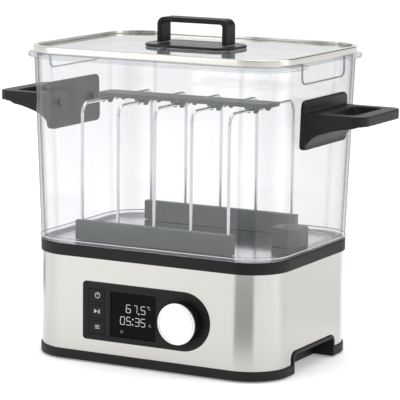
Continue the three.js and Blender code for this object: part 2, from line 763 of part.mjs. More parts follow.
function heatingElement() {
  const z = Z_HEATER_LOW - ELEMENT_SAG - ELEMENT_R;
  const x = HEATER_HALF_X - 25.35;
  const y = HEATER_HALF_Y - 26.6;
  const end = 12;
  const points = [
    [-end, -y, z - 16],
    [-end, -y, z - 5],
    [-end - 5, -y, z],
    [-x + 18, -y, z],
    [-x, -y + 18, z],
    [-x, y - 18, z],
    [-x + 18, y, z],
    [0, y, z],
    [x - 18, y, z],
    [x, y - 18, z],
    [x, -y + 18, z],
    [x - 18, -y, z],
    [end + 5, -y, z],
    [end, -y, z - 5],
    [end, -y, z - 16],
  ].map(([px, py, pz]) => new THREE.Vector3(px + HEATER_X, py, pz));
  const section = new THREE.Shape().absarc(0, 0, ELEMENT_R, 0, 2 * Math.PI);
  return new THREE.ExtrudeGeometry(section, {
    steps: 44,
    curveSegments: WIRE_SIDES,
    bevelEnabled: false,
    extrudePath: new THREE.CatmullRomCurve3(points, false, "centripetal"),
  });
}

function temperatureProbe() {
  return turned([
    [0, Z_HEATER_LOW - 14],
    [PROBE_R - 1, Z_HEATER_LOW - 14],
    [PROBE_R - 1, Z_HEATER_LOW - 2],
    [PROBE_R + 2, Z_HEATER_LOW - 2],
    [PROBE_R + 2, Z_HEATER_LOW - GAP],
    [PROBE_R, Z_HEATER_LOW - GAP],
    [PROBE_R, Z_HEATER],
    [0, Z_HEATER],
  ], 14).translate(HEATER_X, 0, 0);
}

const thermalFuse = () => {
  const z = Z_HEATER_LOW - GAP - 3;
  return barAlongX(-16, z, 3, HEATER_X - 12, HEATER_X + 12, 14);
};

place(base, "main_board", COPPER_BOARD, mainBoard());
place(base, "heating_plate", CAST_ALUMINIUM, heatingPlate());
place(base, "heating_element", BRIGHT_STEEL, heatingElement());
place(base, "temperature_probe", BRASS, temperatureProbe());
place(base, "thermal_fuse", WHITE_PLASTIC, thermalFuse());

// ---------------------------------------------------------------- pump drive under the deck
const Z_MAGNET_TOP = Z_DECK - PLASTIC_WALL - SLIDE;
const Z_MAGNET = Z_MAGNET_TOP - 9;
const Z_BRACKET = Z_MAGNET - 6;
const BRACKET_THICK = 2;
const Z_MOTOR_TOP = Z_BRACKET - GAP;
const POST_SPREAD = MAGNET_R + 5;

function motorBracket() {
  const half = POST_SPREAD + 4;
  const top = Z_DECK - PLASTIC_WALL - GAP;
  const body = join(
    box(-14, 14, -half, half, Z_BRACKET, Z_BRACKET + BRACKET_THICK),
    bar(0, POST_SPREAD, 3, Z_BRACKET + 1, top, 14),
    bar(0, -POST_SPREAD, 3, Z_BRACKET + 1, top, 14),
  );
  return cut(body, bar(0, 0, 4, Z_BRACKET - 5, Z_BRACKET + 5, 16)).translate([PUMP_X, PUMP_Y, 0]);
}

function motorBody() {
  const body = join(
    bar(0, 0, MOTOR_R, Z_MOTOR_TOP - MOTOR_HEIGHT, Z_MOTOR_TOP, 28),
    bar(0, 0, 6, Z_MOTOR_TOP - MOTOR_HEIGHT - 4, Z_MOTOR_TOP - 1, 16),
  );
  const bore = bar(0, 0, ROTOR_SHAFT_R + GAP, Z_MOTOR_TOP - 12, Z_MOTOR_TOP + 5, 14);
  return cut(body, bore).translate([PUMP_X, PUMP_Y, 0]);
}

function magnetRotor() {
  return turned([
    [0, Z_MOTOR_TOP - 11],
    [ROTOR_SHAFT_R, Z_MOTOR_TOP - 11],
    [ROTOR_SHAFT_R, Z_MAGNET],
    [MAGNET_R, Z_MAGNET],
    [MAGNET_R, Z_MAGNET_TOP],
    [0, Z_MAGNET_TOP],
  ]).translate(PUMP_X, PUMP_Y, 0);
}

place(base, "motor_body", BRUSHED_STEEL, motorBody());
place(base, "motor_bracket", WHITE_PLASTIC, motorBracket());
place(base, "magnet_rotor", CAST_ALUMINIUM, magnetRotor());

// ---------------------------------------------------------------- tank
// Half length of the tank's outer wall at a height.
const wallX = (z) => TANK_X + (TANK_FLARE * (z - Z_TANK)) / TANK_HEIGHT;

function handleScrewPlaces(sign) {
  return [-1, 1].map((side) => [sign, side * SCREW_SPREAD]);
}

// A shallow pocket at the top of a short side, where the flange is left out.
function sidePocket(sign) {
  const low = Z_TANK_TOP - POCKET_LOW;
  const shape = new THREE.Shape();
  shape.moveTo(-POCKET_HALF, Z_TANK_TOP + 5);
  shape.lineTo(-POCKET_HALF, low + POCKET_R);
  shape.absarc(POCKET_R - POCKET_HALF, low + POCKET_R, POCKET_R, Math.PI, 1.5 * Math.PI);
  shape.lineTo(POCKET_HALF - POCKET_R, low);
  shape.absarc(POCKET_HALF - POCKET_R, low + POCKET_R, POCKET_R, -Math.PI / 2, 0);
  shape.lineTo(POCKET_HALF, Z_TANK_TOP + 5);
  const geometry = prismAlongX(shape, wallX(Z_TANK_TOP) - POCKET_DEEP, FLANGE_X + 5);
  return sign > 0 ? geometry : geometry.rotateZ(Math.PI);
}

function tankShell() {
  const outer = flaredPrism(TANK_X, TANK_Y, TANK_R, TANK_FLARE, Z_TANK, Z_TANK_TOP);
  const inner = flaredPrism(
    TANK_X - TANK_WALL,
    TANK_Y - TANK_WALL,
    TANK_R - TANK_WALL,
    TANK_FLARE * (1 + 4 / TANK_HEIGHT),
    Z_LEDGE + LEDGE_THICK,
    Z_TANK_TOP + 4,
  );
  const footBand = prism(
    roundedRectangle(TANK_X + FOOT_STEP, TANK_Y + FOOT_STEP, TANK_R + FOOT_STEP),
    Z_TANK,
    Z_TANK + FOOT_BAND,
  );
  const flange = prism(
    roundedRectangle(FLANGE_X, FLANGE_Y, FLANGE_R),
    Z_TANK_TOP - FLANGE_THICK,
    Z_TANK_TOP,
  );
  const under = prism(
    roundedRectangle(TANK_X - TANK_WALL, TANK_Y - TANK_WALL, TANK_R - TANK_WALL),
    Z_TANK - 5,
    Z_LEDGE,
  );
  const mouth = prism(
    roundedRectangle(TANK_X - TANK_WALL - LEDGE, TANK_Y - TANK_WALL - LEDGE, TANK_R - LEDGE),
    Z_LEDGE - 5,
    Z_LEDGE + 5,
  );
  const pockets = [1, -1].map(sidePocket);
  const holes = [1, -1]
    .flatMap(handleScrewPlaces)
    .map(([sign, y]) => barAlongX(y, Z_SCREW, SCREW_R + GAP, sign * (TANK_X - 15), sign * (TANK_X + 25), 12));
  return cut(join(outer, footBand, flange), inner, under, mouth, ...pockets, ...holes);
}

const FLOOR_PLAY = 1.2; // between the steel floor and the collar's lip
const floorOutline = (offset) => {
  const inset = PROUD - PLASTIC_WALL * 1.6 - FLOOR_PLAY + offset;
  return roundedRectangle(BASE_X + inset, BASE_Y + inset, BASE_R + inset);
};

function tankFloor() {
  return prism(floorOutline(0), Z_FLOOR - FLOOR_THICK, Z_FLOOR);
}

function floorSeal() {
  const inset = TANK_WALL + LEDGE;
  return ring(
    floorOutline(0),
    roundedRectangle(TANK_X - inset, TANK_Y - inset, TANK_R - LEDGE),
    Z_FLOOR + GAP,
    Z_LEDGE - GAP,
  );
}

// Underside of a grip in X and Z: thin at the tip, deep where it meets the plate.
function gripProfile(inner) {
  const low = HANDLE_TOP - GRIP_THICK;
  const shape = new THREE.Shape();
  shape.moveTo(inner, HANDLE_TOP);
  shape.lineTo(HANDLE_REACH, HANDLE_TOP);
  shape.lineTo(HANDLE_REACH, low);
  shape.bezierCurveTo(HANDLE_REACH - 22, low - 4, inner + 36, low - 5, inner + 18, low - 8);
  shape.bezierCurveTo(inner + 10, low - 10, inner + 6, low - 14, inner, PLATE_LOW + 2);
  return shape;
}

function handle(sign) {
  const plateIn = wallX(PLATE_LOW) - 1;
  const plateOut = wallX(PLATE_HIGH) + GAP + PLATE_THICK - 0.6;
  const plateShape = roundedRectangle(PLATE_HALF, (PLATE_HIGH - PLATE_LOW) / 2, PLATE_R, 5);
  const plate = prismAlongX(plateShape, plateIn, plateOut);
  plate.translate(0, 0, (PLATE_LOW + PLATE_HIGH) / 2);
  const grip = new THREE.ExtrudeGeometry(gripProfile(plateOut - 1), {
    depth: 2 * HANDLE_HALF,
    bevelEnabled: false,
    curveSegments: 8,
  });
  grip.rotateX(Math.PI / 2).translate(0, HANDLE_HALF, 0);
  const outline = prism(
    roundedRectangle(HANDLE_REACH, HANDLE_HALF, HANDLE_R, 6),
    PLATE_LOW - 5,
    HANDLE_TOP + 5,
  );
  const openIn = plateOut + WEB;
  const openOut = HANDLE_REACH - GRIP_DEPTH;
  const opening = prism(
    roundedRectangle((openOut - openIn) / 2, HANDLE_HALF - ARM_WIDTH, 6, 4),
    PLATE_LOW - 5,
    HANDLE_TOP + 5,
  ).translate((openOut + openIn) / 2, 0, 0);
  const loop = cut(solid(grip).intersect(solid(outline)), opening);
  const wall = flaredPrism(
    TANK_X + GAP,
    TANK_Y + GAP,
    TANK_R + GAP,
    TANK_FLARE,
    Z_TANK,
    Z_TANK_TOP,
  );
  const holes = [-1, 1].map((side) =>
    barAlongX(side * SCREW_SPREAD, Z_SCREW, SCREW_R + GAP, plateIn - 5, plateOut + 9, 12),
  );
  const piece = cut(solid(plate).add(loop), wall, ...holes);
  return sign > 0 ? piece : piece.rotate([0, 0, 180]);
}

function handleScrew(sign, y) {
  const inside = wallX(Z_SCREW - SCREW_HEAD_R) - TANK_WALL - GAP;
  const screw = join(
    barAlongX(0, 0, SCREW_HEAD_R, inside - 2, inside, 16),
    barAlongX(0, 0, SCREW_R, inside - 1, inside + 15, 12),
  ).translate([0, y * sign, Z_SCREW]);
  return sign > 0 ? screw : screw.rotate([0, 0, 180]);
}

const Z_PUMP_TOP = Z_STAND + PUMP_HEIGHT;

function pumpCover() {
  const outer = prism(roundedRectangle(PUMP_HALF_X, PUMP_HALF_Y, 5, 4), Z_STAND, Z_PUMP_TOP);
  const w = PUMP_WALL;
  const inner = prism(
    roundedRectangle(PUMP_HALF_X - w, PUMP_HALF_Y - w, 3.2, 4),
    Z_STAND - 5,
    Z_PUMP_TOP - w,
  );
  const intake = bar(0, 0, IMPELLER_R - 3, Z_PUMP_TOP - 5, Z_PUMP_TOP + 5);
  const outlets = [-1, 1].map((i) =>
    box(-2 * PUMP_HALF_X, 0, i * 5 - 2.5, i * 5 + 2.5, Z_STAND + 4, Z_STAND + 10),
  );
  return cut(solid(outer), inner, intake, ...outlets).translate([PUMP_X, PUMP_Y, 0]);
}

function impellerPin() {
  return bar(PUMP_X, PUMP_Y, 1.5, Z_STAND, Z_PUMP_TOP - 3.5, 12);
}

function impeller() {
  const low = Z_STAND + 1.2;
  const blades = Array.from({ length: 6 }, (_, i) =>
    box(2.5, IMPELLER_R, -0.7, 0.7, low + 1, low + 9).rotateZ((i * Math.PI) / 3),
  );
  const disc = bar(0, 0, IMPELLER_R, low, low + 2, 28);
  const body = join(disc, bar(0, 0, 3.6, low, low + 9), ...blades);
  return cut(body, bar(0, 0, 1.5 + GAP, low - 5, low + 20, 12)).translate([PUMP_X, PUMP_Y, 0]);
}

place(tank, "tank_shell", CLEAR_TANK, tankShell());
place(tank, "tank_floor", BRIGHT_STEEL, tankFloor());
place(tank, "floor_seal", CLEAR_RUBBER, floorSeal());
for (const [side, sign] of [["right", 1], ["left", -1]]) {
  place(tank, "handle_" + side, BLACK_PLASTIC, handle(sign));
  for (const [end, y] of [["front", -SCREW_SPREAD], ["rear", SCREW_SPREAD]]) {
    place(tank, "handle_screw_" + side + "_" + end, BRIGHT_STEEL, handleScrew(sign, y));
  }
}
place(tank, "pump_cover", ANTHRACITE, pumpCover());
place(tank, "impeller_pin", BRIGHT_STEEL, impellerPin());
place(tank, "impeller", WHITE_PLASTIC, impeller());

// ---------------------------------------------------------------- lid
const rimOutline = (inset) => roundedRectangle(RIM_X - inset, RIM_Y - inset, RIM_R - inset);
const GLASS_LAP = 2.3; // glass inside the rim's groove
const LID_SCREW_X = STRAP_HALF - STRAP_THICK / 2;
const Z_STRAP_LOW = Z_LID_PLATE_TOP + GAP;
const Z_LID_SCREW_TOP = Z_STRAP_LOW + 10;
const lidScrewHole = (sign) =>
  bar(sign * LID_SCREW_X, 0, LID_SCREW_R + GAP, Z_GLASS - 5, Z_LID_SCREW_TOP + GAP, 12);

function lidRim() {
  const body = ring(rimOutline(0), rimOutline(RIM_WIDTH), Z_RIM, Z_RIM_TOP);
  const groove = prism(
    rimOutline(RIM_WIDTH - GLASS_LAP - GAP),
    Z_GLASS - GAP,
    Z_GLASS_TOP + GAP,
  );
  return cut(body, groove);
}

function lidGlass() {
  const pane = prism(rimOutline(RIM_WIDTH - GLASS_LAP), Z_GLASS, Z_GLASS_TOP);
  return cut(solid(pane), lidScrewHole(1), lidScrewHole(-1));
}

function lidSeal() {
  const inset = Math.max(RIM_WIDTH + GAP, FLANGE - RIM_INSET + TANK_WALL + SLIDE);
  return ring(
    rimOutline(inset),
    rimOutline(inset + LID_SEAL_WALL),
    Z_TANK_TOP - SEAL_DROP,
    Z_GLASS - GAP,
  );
}

function lidPlate() {
  const outline = roundedRectangle(LID_PLATE_HALF_X, LID_PLATE_HALF_Y, LID_PLATE_R);
  const plate = prism(outline, Z_GLASS_TOP + GAP, Z_LID_PLATE_TOP);
  return cut(solid(plate), lidScrewHole(1), lidScrewHole(-1));
}

// An arch in X and Z with rounded upper corners.
function archOutline(half, top, radius) {
  const shape = new THREE.Shape();
  shape.moveTo(-half, Z_STRAP_LOW);
  shape.lineTo(half, Z_STRAP_LOW);
  shape.lineTo(half, top - radius);
  shape.absarc(half - radius, top - radius, radius, 0, Math.PI / 2);
  shape.lineTo(radius - half, top);
  shape.absarc(radius - half, top - radius, radius, Math.PI / 2, Math.PI);
  return shape;
}

function lidHandle() {
  const top = Z_STRAP_LOW + STRAP_HEIGHT - GAP;
  const half = STRAP_WIDTH / 2;
  const outer = prismAlongY(archOutline(STRAP_HALF, top, STRAP_R), -half, half);
  const inner = prismAlongY(
    archOutline(STRAP_HALF - STRAP_THICK, top - STRAP_THICK, STRAP_R - STRAP_THICK),
    -half - 1,
    half + 1,
  );
  const x = STRAP_HALF - STRAP_THICK;
  const below = box(-x, x, -half - 1, half + 1, Z_STRAP_LOW - 5, Z_STRAP_LOW + 5);
  return cut(solid(outer), inner, below, lidScrewHole(1), lidScrewHole(-1));
}

function lidScrew(sign) {
  const under = Z_GLASS - GAP;
  return join(
    bar(0, 0, 4, under - 2, under, 16),
    bar(0, 0, LID_SCREW_R, under - 1, Z_LID_SCREW_TOP, 12),
  ).translate([sign * LID_SCREW_X, 0, 0]);
}

place(lid, "lid_rim", BRUSHED_STEEL, lidRim());
place(lid, "lid_glass", CLEAR_GLASS, lidGlass());
place(lid, "lid_seal", CLEAR_RUBBER, lidSeal());
place(lid, "lid_plate", BLACK_PLASTIC, lidPlate());
place(lid, "lid_handle", BLACK_PLASTIC, lidHandle());
place(lid, "lid_screw_right", BRIGHT_STEEL, lidScrew(1));
place(lid, "lid_screw_left", BRIGHT_STEEL, lidScrew(-1));

// ---------------------------------------------------------------- rack, in its own frame
rack.position.set(RACK_X, 0, Z_STAND);
const hoopX = (i) => (i - (HOOPS - 1) / 2) * HOOP_PITCH;
const hoopNumbers = Array.from({ length: HOOPS }, (_, i) => i);

function rail(side) {
  const y = side * RAIL_Y;
  const half = RAIL_THICK / 2;
  const body = solid(box(-RAIL_HALF, RAIL_HALF, y - half, y + half, 0, RAIL_HEIGHT));
  const sockets = hoopNumbers.map((i) =>
    bar(hoopX(i), y, WIRE_R + GAP, RAIL_HEIGHT - HOOP_SINK - GAP, RAIL_HEIGHT + 5, 12),
  );
  return cut(body, ...sockets);
}

function hoop() {
  const low = RAIL_HEIGHT - HOOP_SINK;
  const path = new THREE.CurvePath();
  const y = RAIL_Y;
  const top = HOOP_HEIGHT;
  const bend = HOOP_BEND;
  const at = (py, pz) => new THREE.Vector3(0, py, pz);
  path.add(new THREE.LineCurve3(at(-y, low), at(-y, top - bend)));
  path.add(new THREE.QuadraticBezierCurve3(at(-y, top - bend), at(-y, top), at(bend - y, top)));
  path.add(new THREE.LineCurve3(at(bend - y, top), at(y - bend, top)));
  path.add(new THREE.QuadraticBezierCurve3(at(y - bend, top), at(y, top), at(y, top - bend)));
  path.add(new THREE.LineCurve3(at(y, top - bend), at(y, low)));
  const section = new THREE.Shape().absarc(0, 0, WIRE_R, 0, 2 * Math.PI);
  return new THREE.ExtrudeGeometry(section, {
    steps: 36,
    curveSegments: WIRE_SIDES,
    bevelEnabled: false,
    extrudePath: path,
  });
}

// A pair of teeth hangs at each hoop from both long edges of the bar, and the wire runs between.
function comb() {
  const low = HOOP_HEIGHT + WIRE_R + GAP;
  const slot = WIRE_R + GAP;
  const middle = low + COMB_THICK / 2;
  const teeth = (front, back) =>
    hoopNumbers.flatMap((i) =>
      [-1, 1].map((side) => {
        const along = (reach) => hoopX(i) + side * reach;
        const shape = new THREE.Shape();
        shape.moveTo(along(slot), middle);
        shape.lineTo(along(slot), low - TOOTH_DROP);
        shape.lineTo(along(TOOTH_HALF - TOOTH_TAPER), low - TOOTH_DROP);
        shape.lineTo(along(TOOTH_HALF), low - TOOTH_DROP / 2);
        shape.lineTo(along(TOOTH_HALF + TOOTH_SHOULDER), low);
        shape.lineTo(along(TOOTH_HALF + TOOTH_SHOULDER), middle);
        return prismAlongY(shape, front, back);
      }),
    );
  const back = COMB_FRONT + COMB_WIDTH;
  const left = COMB_SHIFT - COMB_HALF;
  const right = COMB_SHIFT + COMB_HALF;
  return join(
    box(left, right, COMB_FRONT, back, low, low + COMB_THICK),
    ...teeth(COMB_FRONT, COMB_FRONT + TOOTH_THICK),
    ...teeth(back - TOOTH_THICK, back),
  );
}

place(rack, "rail_front", ANTHRACITE, rail(-1));
place(rack, "rail_rear", ANTHRACITE, rail(1));
for (const i of hoopNumbers) {
  place(rack, "hoop_" + (i + 1), BRIGHT_STEEL, hoop()).position.x = hoopX(i);
}
place(rack, "comb", ANTHRACITE, comb());

// The origin is under the middle of the whole object, front of the knob to back of the flange.
part.position.y = (-KNOB_FACE - FLANGE_Y) / 2;

export default part;
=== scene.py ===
"""The looks of a sous-vide water-bath cooker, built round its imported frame. Metres, +Z up."""
import math

import bmesh
import bpy
from mathutils import Matrix, Vector


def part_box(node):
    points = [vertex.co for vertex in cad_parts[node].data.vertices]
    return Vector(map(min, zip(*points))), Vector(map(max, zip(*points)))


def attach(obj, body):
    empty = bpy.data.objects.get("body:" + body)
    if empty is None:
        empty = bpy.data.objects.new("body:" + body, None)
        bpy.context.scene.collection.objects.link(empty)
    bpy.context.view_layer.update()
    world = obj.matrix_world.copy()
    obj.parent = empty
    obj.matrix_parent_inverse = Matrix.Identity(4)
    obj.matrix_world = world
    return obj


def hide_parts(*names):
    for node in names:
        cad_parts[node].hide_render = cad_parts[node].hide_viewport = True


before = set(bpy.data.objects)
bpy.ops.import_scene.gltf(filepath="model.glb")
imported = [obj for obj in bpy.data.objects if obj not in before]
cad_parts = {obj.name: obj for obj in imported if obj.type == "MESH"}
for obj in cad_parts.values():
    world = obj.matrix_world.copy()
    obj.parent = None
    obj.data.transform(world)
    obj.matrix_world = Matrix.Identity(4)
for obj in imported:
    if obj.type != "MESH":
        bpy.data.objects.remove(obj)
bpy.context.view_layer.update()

MM = 0.001
MID_Y = 0.9  # middle of the tank and the base along Y, in millimetres
BIG = 60  # a cutter reaches this far past what it cuts, in millimetres

# outlines, each of half its length, half its width and its corner radius, in millimetres
BASE = (126.5, 93.5, 39)
TANK_FOOT = (125.4, 92.9, 36.5)
LID = (131.8, 99.3, 39)


# ------------------------------------------------------------------ handling pieces
def only(obj):
    bpy.ops.object.select_all(action="DESELECT")
    obj.select_set(True)
    bpy.context.view_layer.objects.active = obj


def edit(obj):
    only(obj)
    bpy.ops.object.mode_set(mode="EDIT")


def done():
    bpy.ops.object.mode_set(mode="OBJECT")


def choose(obj, kind, test):
    """Selects the points, edges or faces of obj, in edit mode, that pass the test."""
    bpy.ops.mesh.select_mode(type=kind)
    bpy.ops.mesh.select_all(action="DESELECT")
    mesh = bmesh.from_edit_mesh(obj.data)
    parts = {"VERT": mesh.verts, "EDGE": mesh.edges, "FACE": mesh.faces}[kind]
    for part in parts:
        if test(part):
            part.select_set(True)
    mesh.select_flush_mode()
    bmesh.update_edit_mesh(obj.data)


def mm(*values):
    return Vector(values) * MM


def across(edge, axis):
    """True if both ends of an edge have the same place along an axis."""
    a, b = edge.verts
    return abs(a.co[axis] - b.co[axis]) < 1e-7


def round_corners(obj, axis, radius, steps, test=lambda a: True):
    """Rounds the edges of obj that run along an axis and whose first end passes the test."""

    def runs_along(edge):
        others = [i for i in range(3) if i != axis]
        straight = all(across(edge, i) for i in others) and not across(edge, axis)
        return straight and test(edge.verts[0].co / MM)

    edit(obj)
    choose(obj, "EDGE", runs_along)
    bpy.ops.mesh.bevel(offset=radius * MM, segments=steps, affect="EDGES")
    done()


def soften_ends(obj, axis, radius, steps=3):
    """Rounds the outline of the two end faces of obj that face along an axis."""
    places = [v.co[axis] for v in obj.data.vertices]
    ends = (min(places), max(places))

    def on_end(edge):
        place = edge.verts[0].co[axis]
        return across(edge, axis) and any(abs(place - e) < 1e-7 for e in ends)

    edit(obj)
    choose(obj, "EDGE", lambda e: on_end(e) and e.calc_face_angle(0) > 0.8)
    bpy.ops.mesh.bevel(offset=radius * MM, segments=steps, affect="EDGES")
    done()


def block(x, y, z, corner=0, edge=0, axis=2, steps=14, edge_steps=3, test=lambda a: True):
    """A block between two places on each axis, in millimetres, its corners along axis rounded."""
    low, high = mm(x[0], y[0], z[0]), mm(x[1], y[1], z[1])
    bpy.ops.object.select_all(action="DESELECT")
    bpy.ops.mesh.primitive_cube_add(size=1, location=(low + high) / 2, scale=high - low)
    obj = bpy.context.active_object
    bpy.ops.object.transform_apply(location=True, rotation=True, scale=True)
    if corner:
        round_corners(obj, axis, corner, steps, test)
    if edge:
        soften_ends(obj, axis, edge, edge_steps)
    return obj


def boxed(low, high, corner=0, edge=0, **more):
    """A block between its two far corners, in millimetres."""
    return block((low.x, high.x), (low.y, high.y), (low.z, high.z), corner, edge, **more)


def plan(half_x, half_y, z, corner=0, edge=0, **more):
    """A block that is centred on the cooker."""
    return block(
        (-half_x, half_x), (MID_Y - half_y, MID_Y + half_y), z, corner, edge, **more
    )


def grown(outline, by, z, edge=0, corner=None, **more):
    """A block on one of the outlines, which is grown by a distance on every side."""
    half_x, half_y, radius = (size + by for size in outline)
    return plan(half_x, half_y, z, corner or radius, edge, **more)


def drum(centre, radius, span, axis=2, sides=48, edge=0, edge_steps=3):
    """A round bar along an axis, over a span of it; centre gives its other two places."""
    others = [i for i in range(3) if i != axis]
    place = [0, 0, 0]
    place[others[0]], place[others[1]] = centre
    place[axis] = (span[0] + span[1]) / 2
    turn = {0: (0, math.pi / 2, 0), 1: (math.pi / 2, 0, 0), 2: (0, 0, 0)}[axis]
    bpy.ops.object.select_all(action="DESELECT")
    bpy.ops.mesh.primitive_cylinder_add(
        vertices=sides, radius=radius * MM, depth=(span[1] - span[0]) * MM,
        location=mm(*place), rotation=turn,
    )
    obj = bpy.context.active_object
    bpy.ops.object.transform_apply(location=True, rotation=True, scale=True)
    if edge:
        soften_ends(obj, axis, edge, edge_steps)
    return obj


def apply(obj, kind, **settings):
    only(obj)
    modifier = obj.modifiers.new(kind, kind)
    for name, value in settings.items():
        setattr(modifier, name, value)
    bpy.ops.object.modifier_apply(modifier=modifier.name)


def combine(obj, others, operation):
    for other in others:
        apply(obj, "BOOLEAN", operation=operation, solver="EXACT", object=other)
        bpy.data.objects.remove(other)
    return obj


def cut(obj, *cutters):
    return combine(obj, cutters, "DIFFERENCE")


def fuse(obj, *others):
    return combine(obj, others, "UNION")


def gather(objects):
    """Several pieces as one mesh."""
    only(objects[0])
    for obj in objects:
        obj.select_set(True)
    bpy.ops.object.join()
    return bpy.context.active_object


def ease(obj, width, steps=2, angle=38):
    """Rounds every edge sharper than an angle."""
    edit(obj)
    bpy.ops.mesh.select_all(action="SELECT")
    bpy.ops.mesh.remove_doubles(threshold=1e-6)
    bpy.ops.mesh.dissolve_limited(angle_limit=math.radians(0.5))
    done()
    apply(
        obj, "BEVEL", width=width * MM, segments=steps, limit_method="ANGLE",
        angle_limit=math.radians(angle), use_clamp_overlap=True, miter_outer="MITER_ARC",
    )
    return obj


def mould(obj, voxel, rounds):
    """Melts the edges and joints of obj together, as a moulded piece has them."""
    apply(obj, "REMESH", mode="VOXEL", voxel_size=voxel * MM)
    apply(obj, "SMOOTH", factor=0.5, iterations=rounds)
    return obj


def copy_by(obj, change):
    """A copy of obj that is moved or turned by a matrix."""
    made = obj.copy()
    made.data = obj.data.copy()
    bpy.context.scene.collection.objects.link(made)
    made.data.transform(change)
    return made


def twin(obj):
    """A copy of obj, turned half way round the middle of the cooker."""
    middle = mm(0, MID_Y, 0)
    half_turn = Matrix.Rotation(math.pi, 4, "Z")
    return copy_by(obj, Matrix.Translation(middle) @ half_turn @ Matrix.Translation(-middle))


def keep(obj, name, body, finish, nodes=(), smooth=32):
    """Names a finished piece, gives it its finish and lets it ride on its body."""
    obj.name = name
    obj.data.name = name
    only(obj)
    bpy.ops.object.shade_smooth_by_angle(angle=math.radians(smooth))
    apply(obj, "WEIGHTED_NORMAL", keep_sharp=True, weight=60)
    obj.data.materials.clear()
    obj.data.materials.append(finish)
    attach(obj, body)
    if nodes:
        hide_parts(*nodes)
    return obj


# ------------------------------------------------------------------ finishes
class Finish:
    """A material under construction: its nodes are added one by one and tied together."""

    def __init__(self, name):
        self.material = bpy.data.materials.new(name)
        self.material.use_nodes = True
        self.nodes = self.material.node_tree.nodes
        self.links = self.material.node_tree.links
        self.shader = self.nodes["Principled BSDF"]
        self.place = self.add("ShaderNodeTexCoord").outputs["Object"]

    def add(self, kind, **settings):
        node = self.nodes.new(kind)
        for name, value in settings.items():
            setattr(node, name, value)
        return node

    def tie(self, output, socket):
        self.links.new(output, socket)

    def set(self, **values):
        for name, value in values.items():
            self.shader.inputs[name.replace("_", " ")].default_value = value
        return self

    def stretched(self, scale):
        """Places on the piece, drawn out by a scale on each axis."""
        node = self.add("ShaderNodeMapping")
        node.inputs["Scale"].default_value = scale
        self.tie(self.place, node.inputs["Vector"])
        return node.outputs["Vector"]

    def noise(self, scale, detail=3, rough=0.5, vector=None):
        node = self.add("ShaderNodeTexNoise")
        node.inputs["Scale"].default_value = scale
        node.inputs["Detail"].default_value = detail
        node.inputs["Roughness"].default_value = rough
        self.tie(vector or self.place, node.inputs["Vector"])
        return node.outputs["Fac"]

    def ramp(self, value, *stops):
        """Stops are pairs of a place and a colour or grey."""
        node = self.add("ShaderNodeValToRGB")
        elements = node.color_ramp.elements
        while len(elements) < len(stops):
            elements.new(0.5)
        for element, (place, colour) in zip(elements, stops):
            element.position = place
            if not isinstance(colour, tuple):
                colour = (colour, colour, colour)
            element.color = (*colour, 1)
        self.tie(value, node.inputs["Fac"])
        return node.outputs["Color"]

    def between(self, value, low, high):
        node = self.add("ShaderNodeMapRange")
        node.inputs["To Min"].default_value = low
        node.inputs["To Max"].default_value = high
        self.tie(value, node.inputs["Value"])
        return node.outputs["Result"]

    def mix(self, amount, first, second, blend="MIX"):
        node = self.add("ShaderNodeMix", data_type="RGBA", blend_type=blend)
        for socket, value in ((node.inputs[0], amount), (node.inputs[6], first), (node.inputs[7], second)):
            if hasattr(value, "is_linked"):
                self.tie(value, socket)
            elif isinstance(value, tuple):
                socket.default_value = (*value, 1)
            else:
                socket.default_value = value
        return node.outputs[2]

    def maths(self, operation, *values, kind="ShaderNodeMath", output="Value"):
        """One step of arithmetic, on outputs of other nodes or on plain values."""
        node = self.add(kind, operation=operation)
        for socket, value in zip(node.inputs, values):
            if hasattr(value, "is_linked"):
                self.tie(value, socket)
            else:
                socket.default_value = value
        return node.outputs[output]

    def vectors(self, operation, *values, output="Value"):
        return self.maths(operation, *values, kind="ShaderNodeVectorMath", output=output)

    def fade(self, value, nothing, full):
        """A smooth step from 0, where the value is nothing, to 1, where it is full."""
        node = self.add("ShaderNodeMapRange", interpolation_type="SMOOTHSTEP")
        node.inputs["From Min"].default_value = nothing
        node.inputs["From Max"].default_value = full
        self.tie(value, node.inputs["Value"])
        return node.outputs["Result"]

    def colour(self, output):
        self.tie(output, self.shader.inputs["Base Color"])
        return self

    def roughness(self, output):
        self.tie(output, self.shader.inputs["Roughness"])
        return self

    def bump(self, height, depth, strength=1.0):
        node = self.add("ShaderNodeBump")
        node.inputs["Distance"].default_value = depth * MM
        node.inputs["Strength"].default_value = strength
        self.tie(height, node.inputs["Height"])
        self.tie(node.outputs["Normal"], self.shader.inputs["Normal"])
        return self


def plastic(name, dark, light, rough, grain=1500, depth=0.03, blotch=14, sheen=0.2):
    """Moulded plastic with a fine spark-eroded texture, its gloss a little uneven."""
    f = Finish(name)
    f.set(IOR=1.49, Specular_IOR_Level=sheen)
    f.colour(f.ramp(f.noise(blotch, 4), (0.3, dark), (0.75, light)))
    f.roughness(f.between(f.noise(blotch * 4, 5, 0.7), rough - 0.07, rough + 0.09))
    f.bump(f.noise(grain, 2, 0.6), depth, 0.5)
    return f.material


def metal(name, dark, light, rough, streak=(3, 3, 900), spread=0.09, turn=0.5, depth=0.004):
    """Ground or drawn metal: fine streaks along the grain, and cloudy patches in the gloss."""
    f = Finish(name)
    f.set(Metallic=1.0, Anisotropic=turn)
    grain = f.noise(1, 4, 0.65, f.stretched(streak))
    cloud = f.noise(9, 3)
    shade = f.ramp(grain, (0.32, dark), (0.7, light))
    f.colour(f.mix(f.between(cloud, 0.0, 0.16), shade, dark))
    f.roughness(f.between(grain, rough - spread, rough + spread))
    f.bump(grain, depth, 0.35)
    if turn:
        f.set(Anisotropic_Rotation=0.25)
        tangent = f.add("ShaderNodeTangent", direction_type="RADIAL", axis="Z")
        f.tie(tangent.outputs["Tangent"], f.shader.inputs["Tangent"])
    return f.material


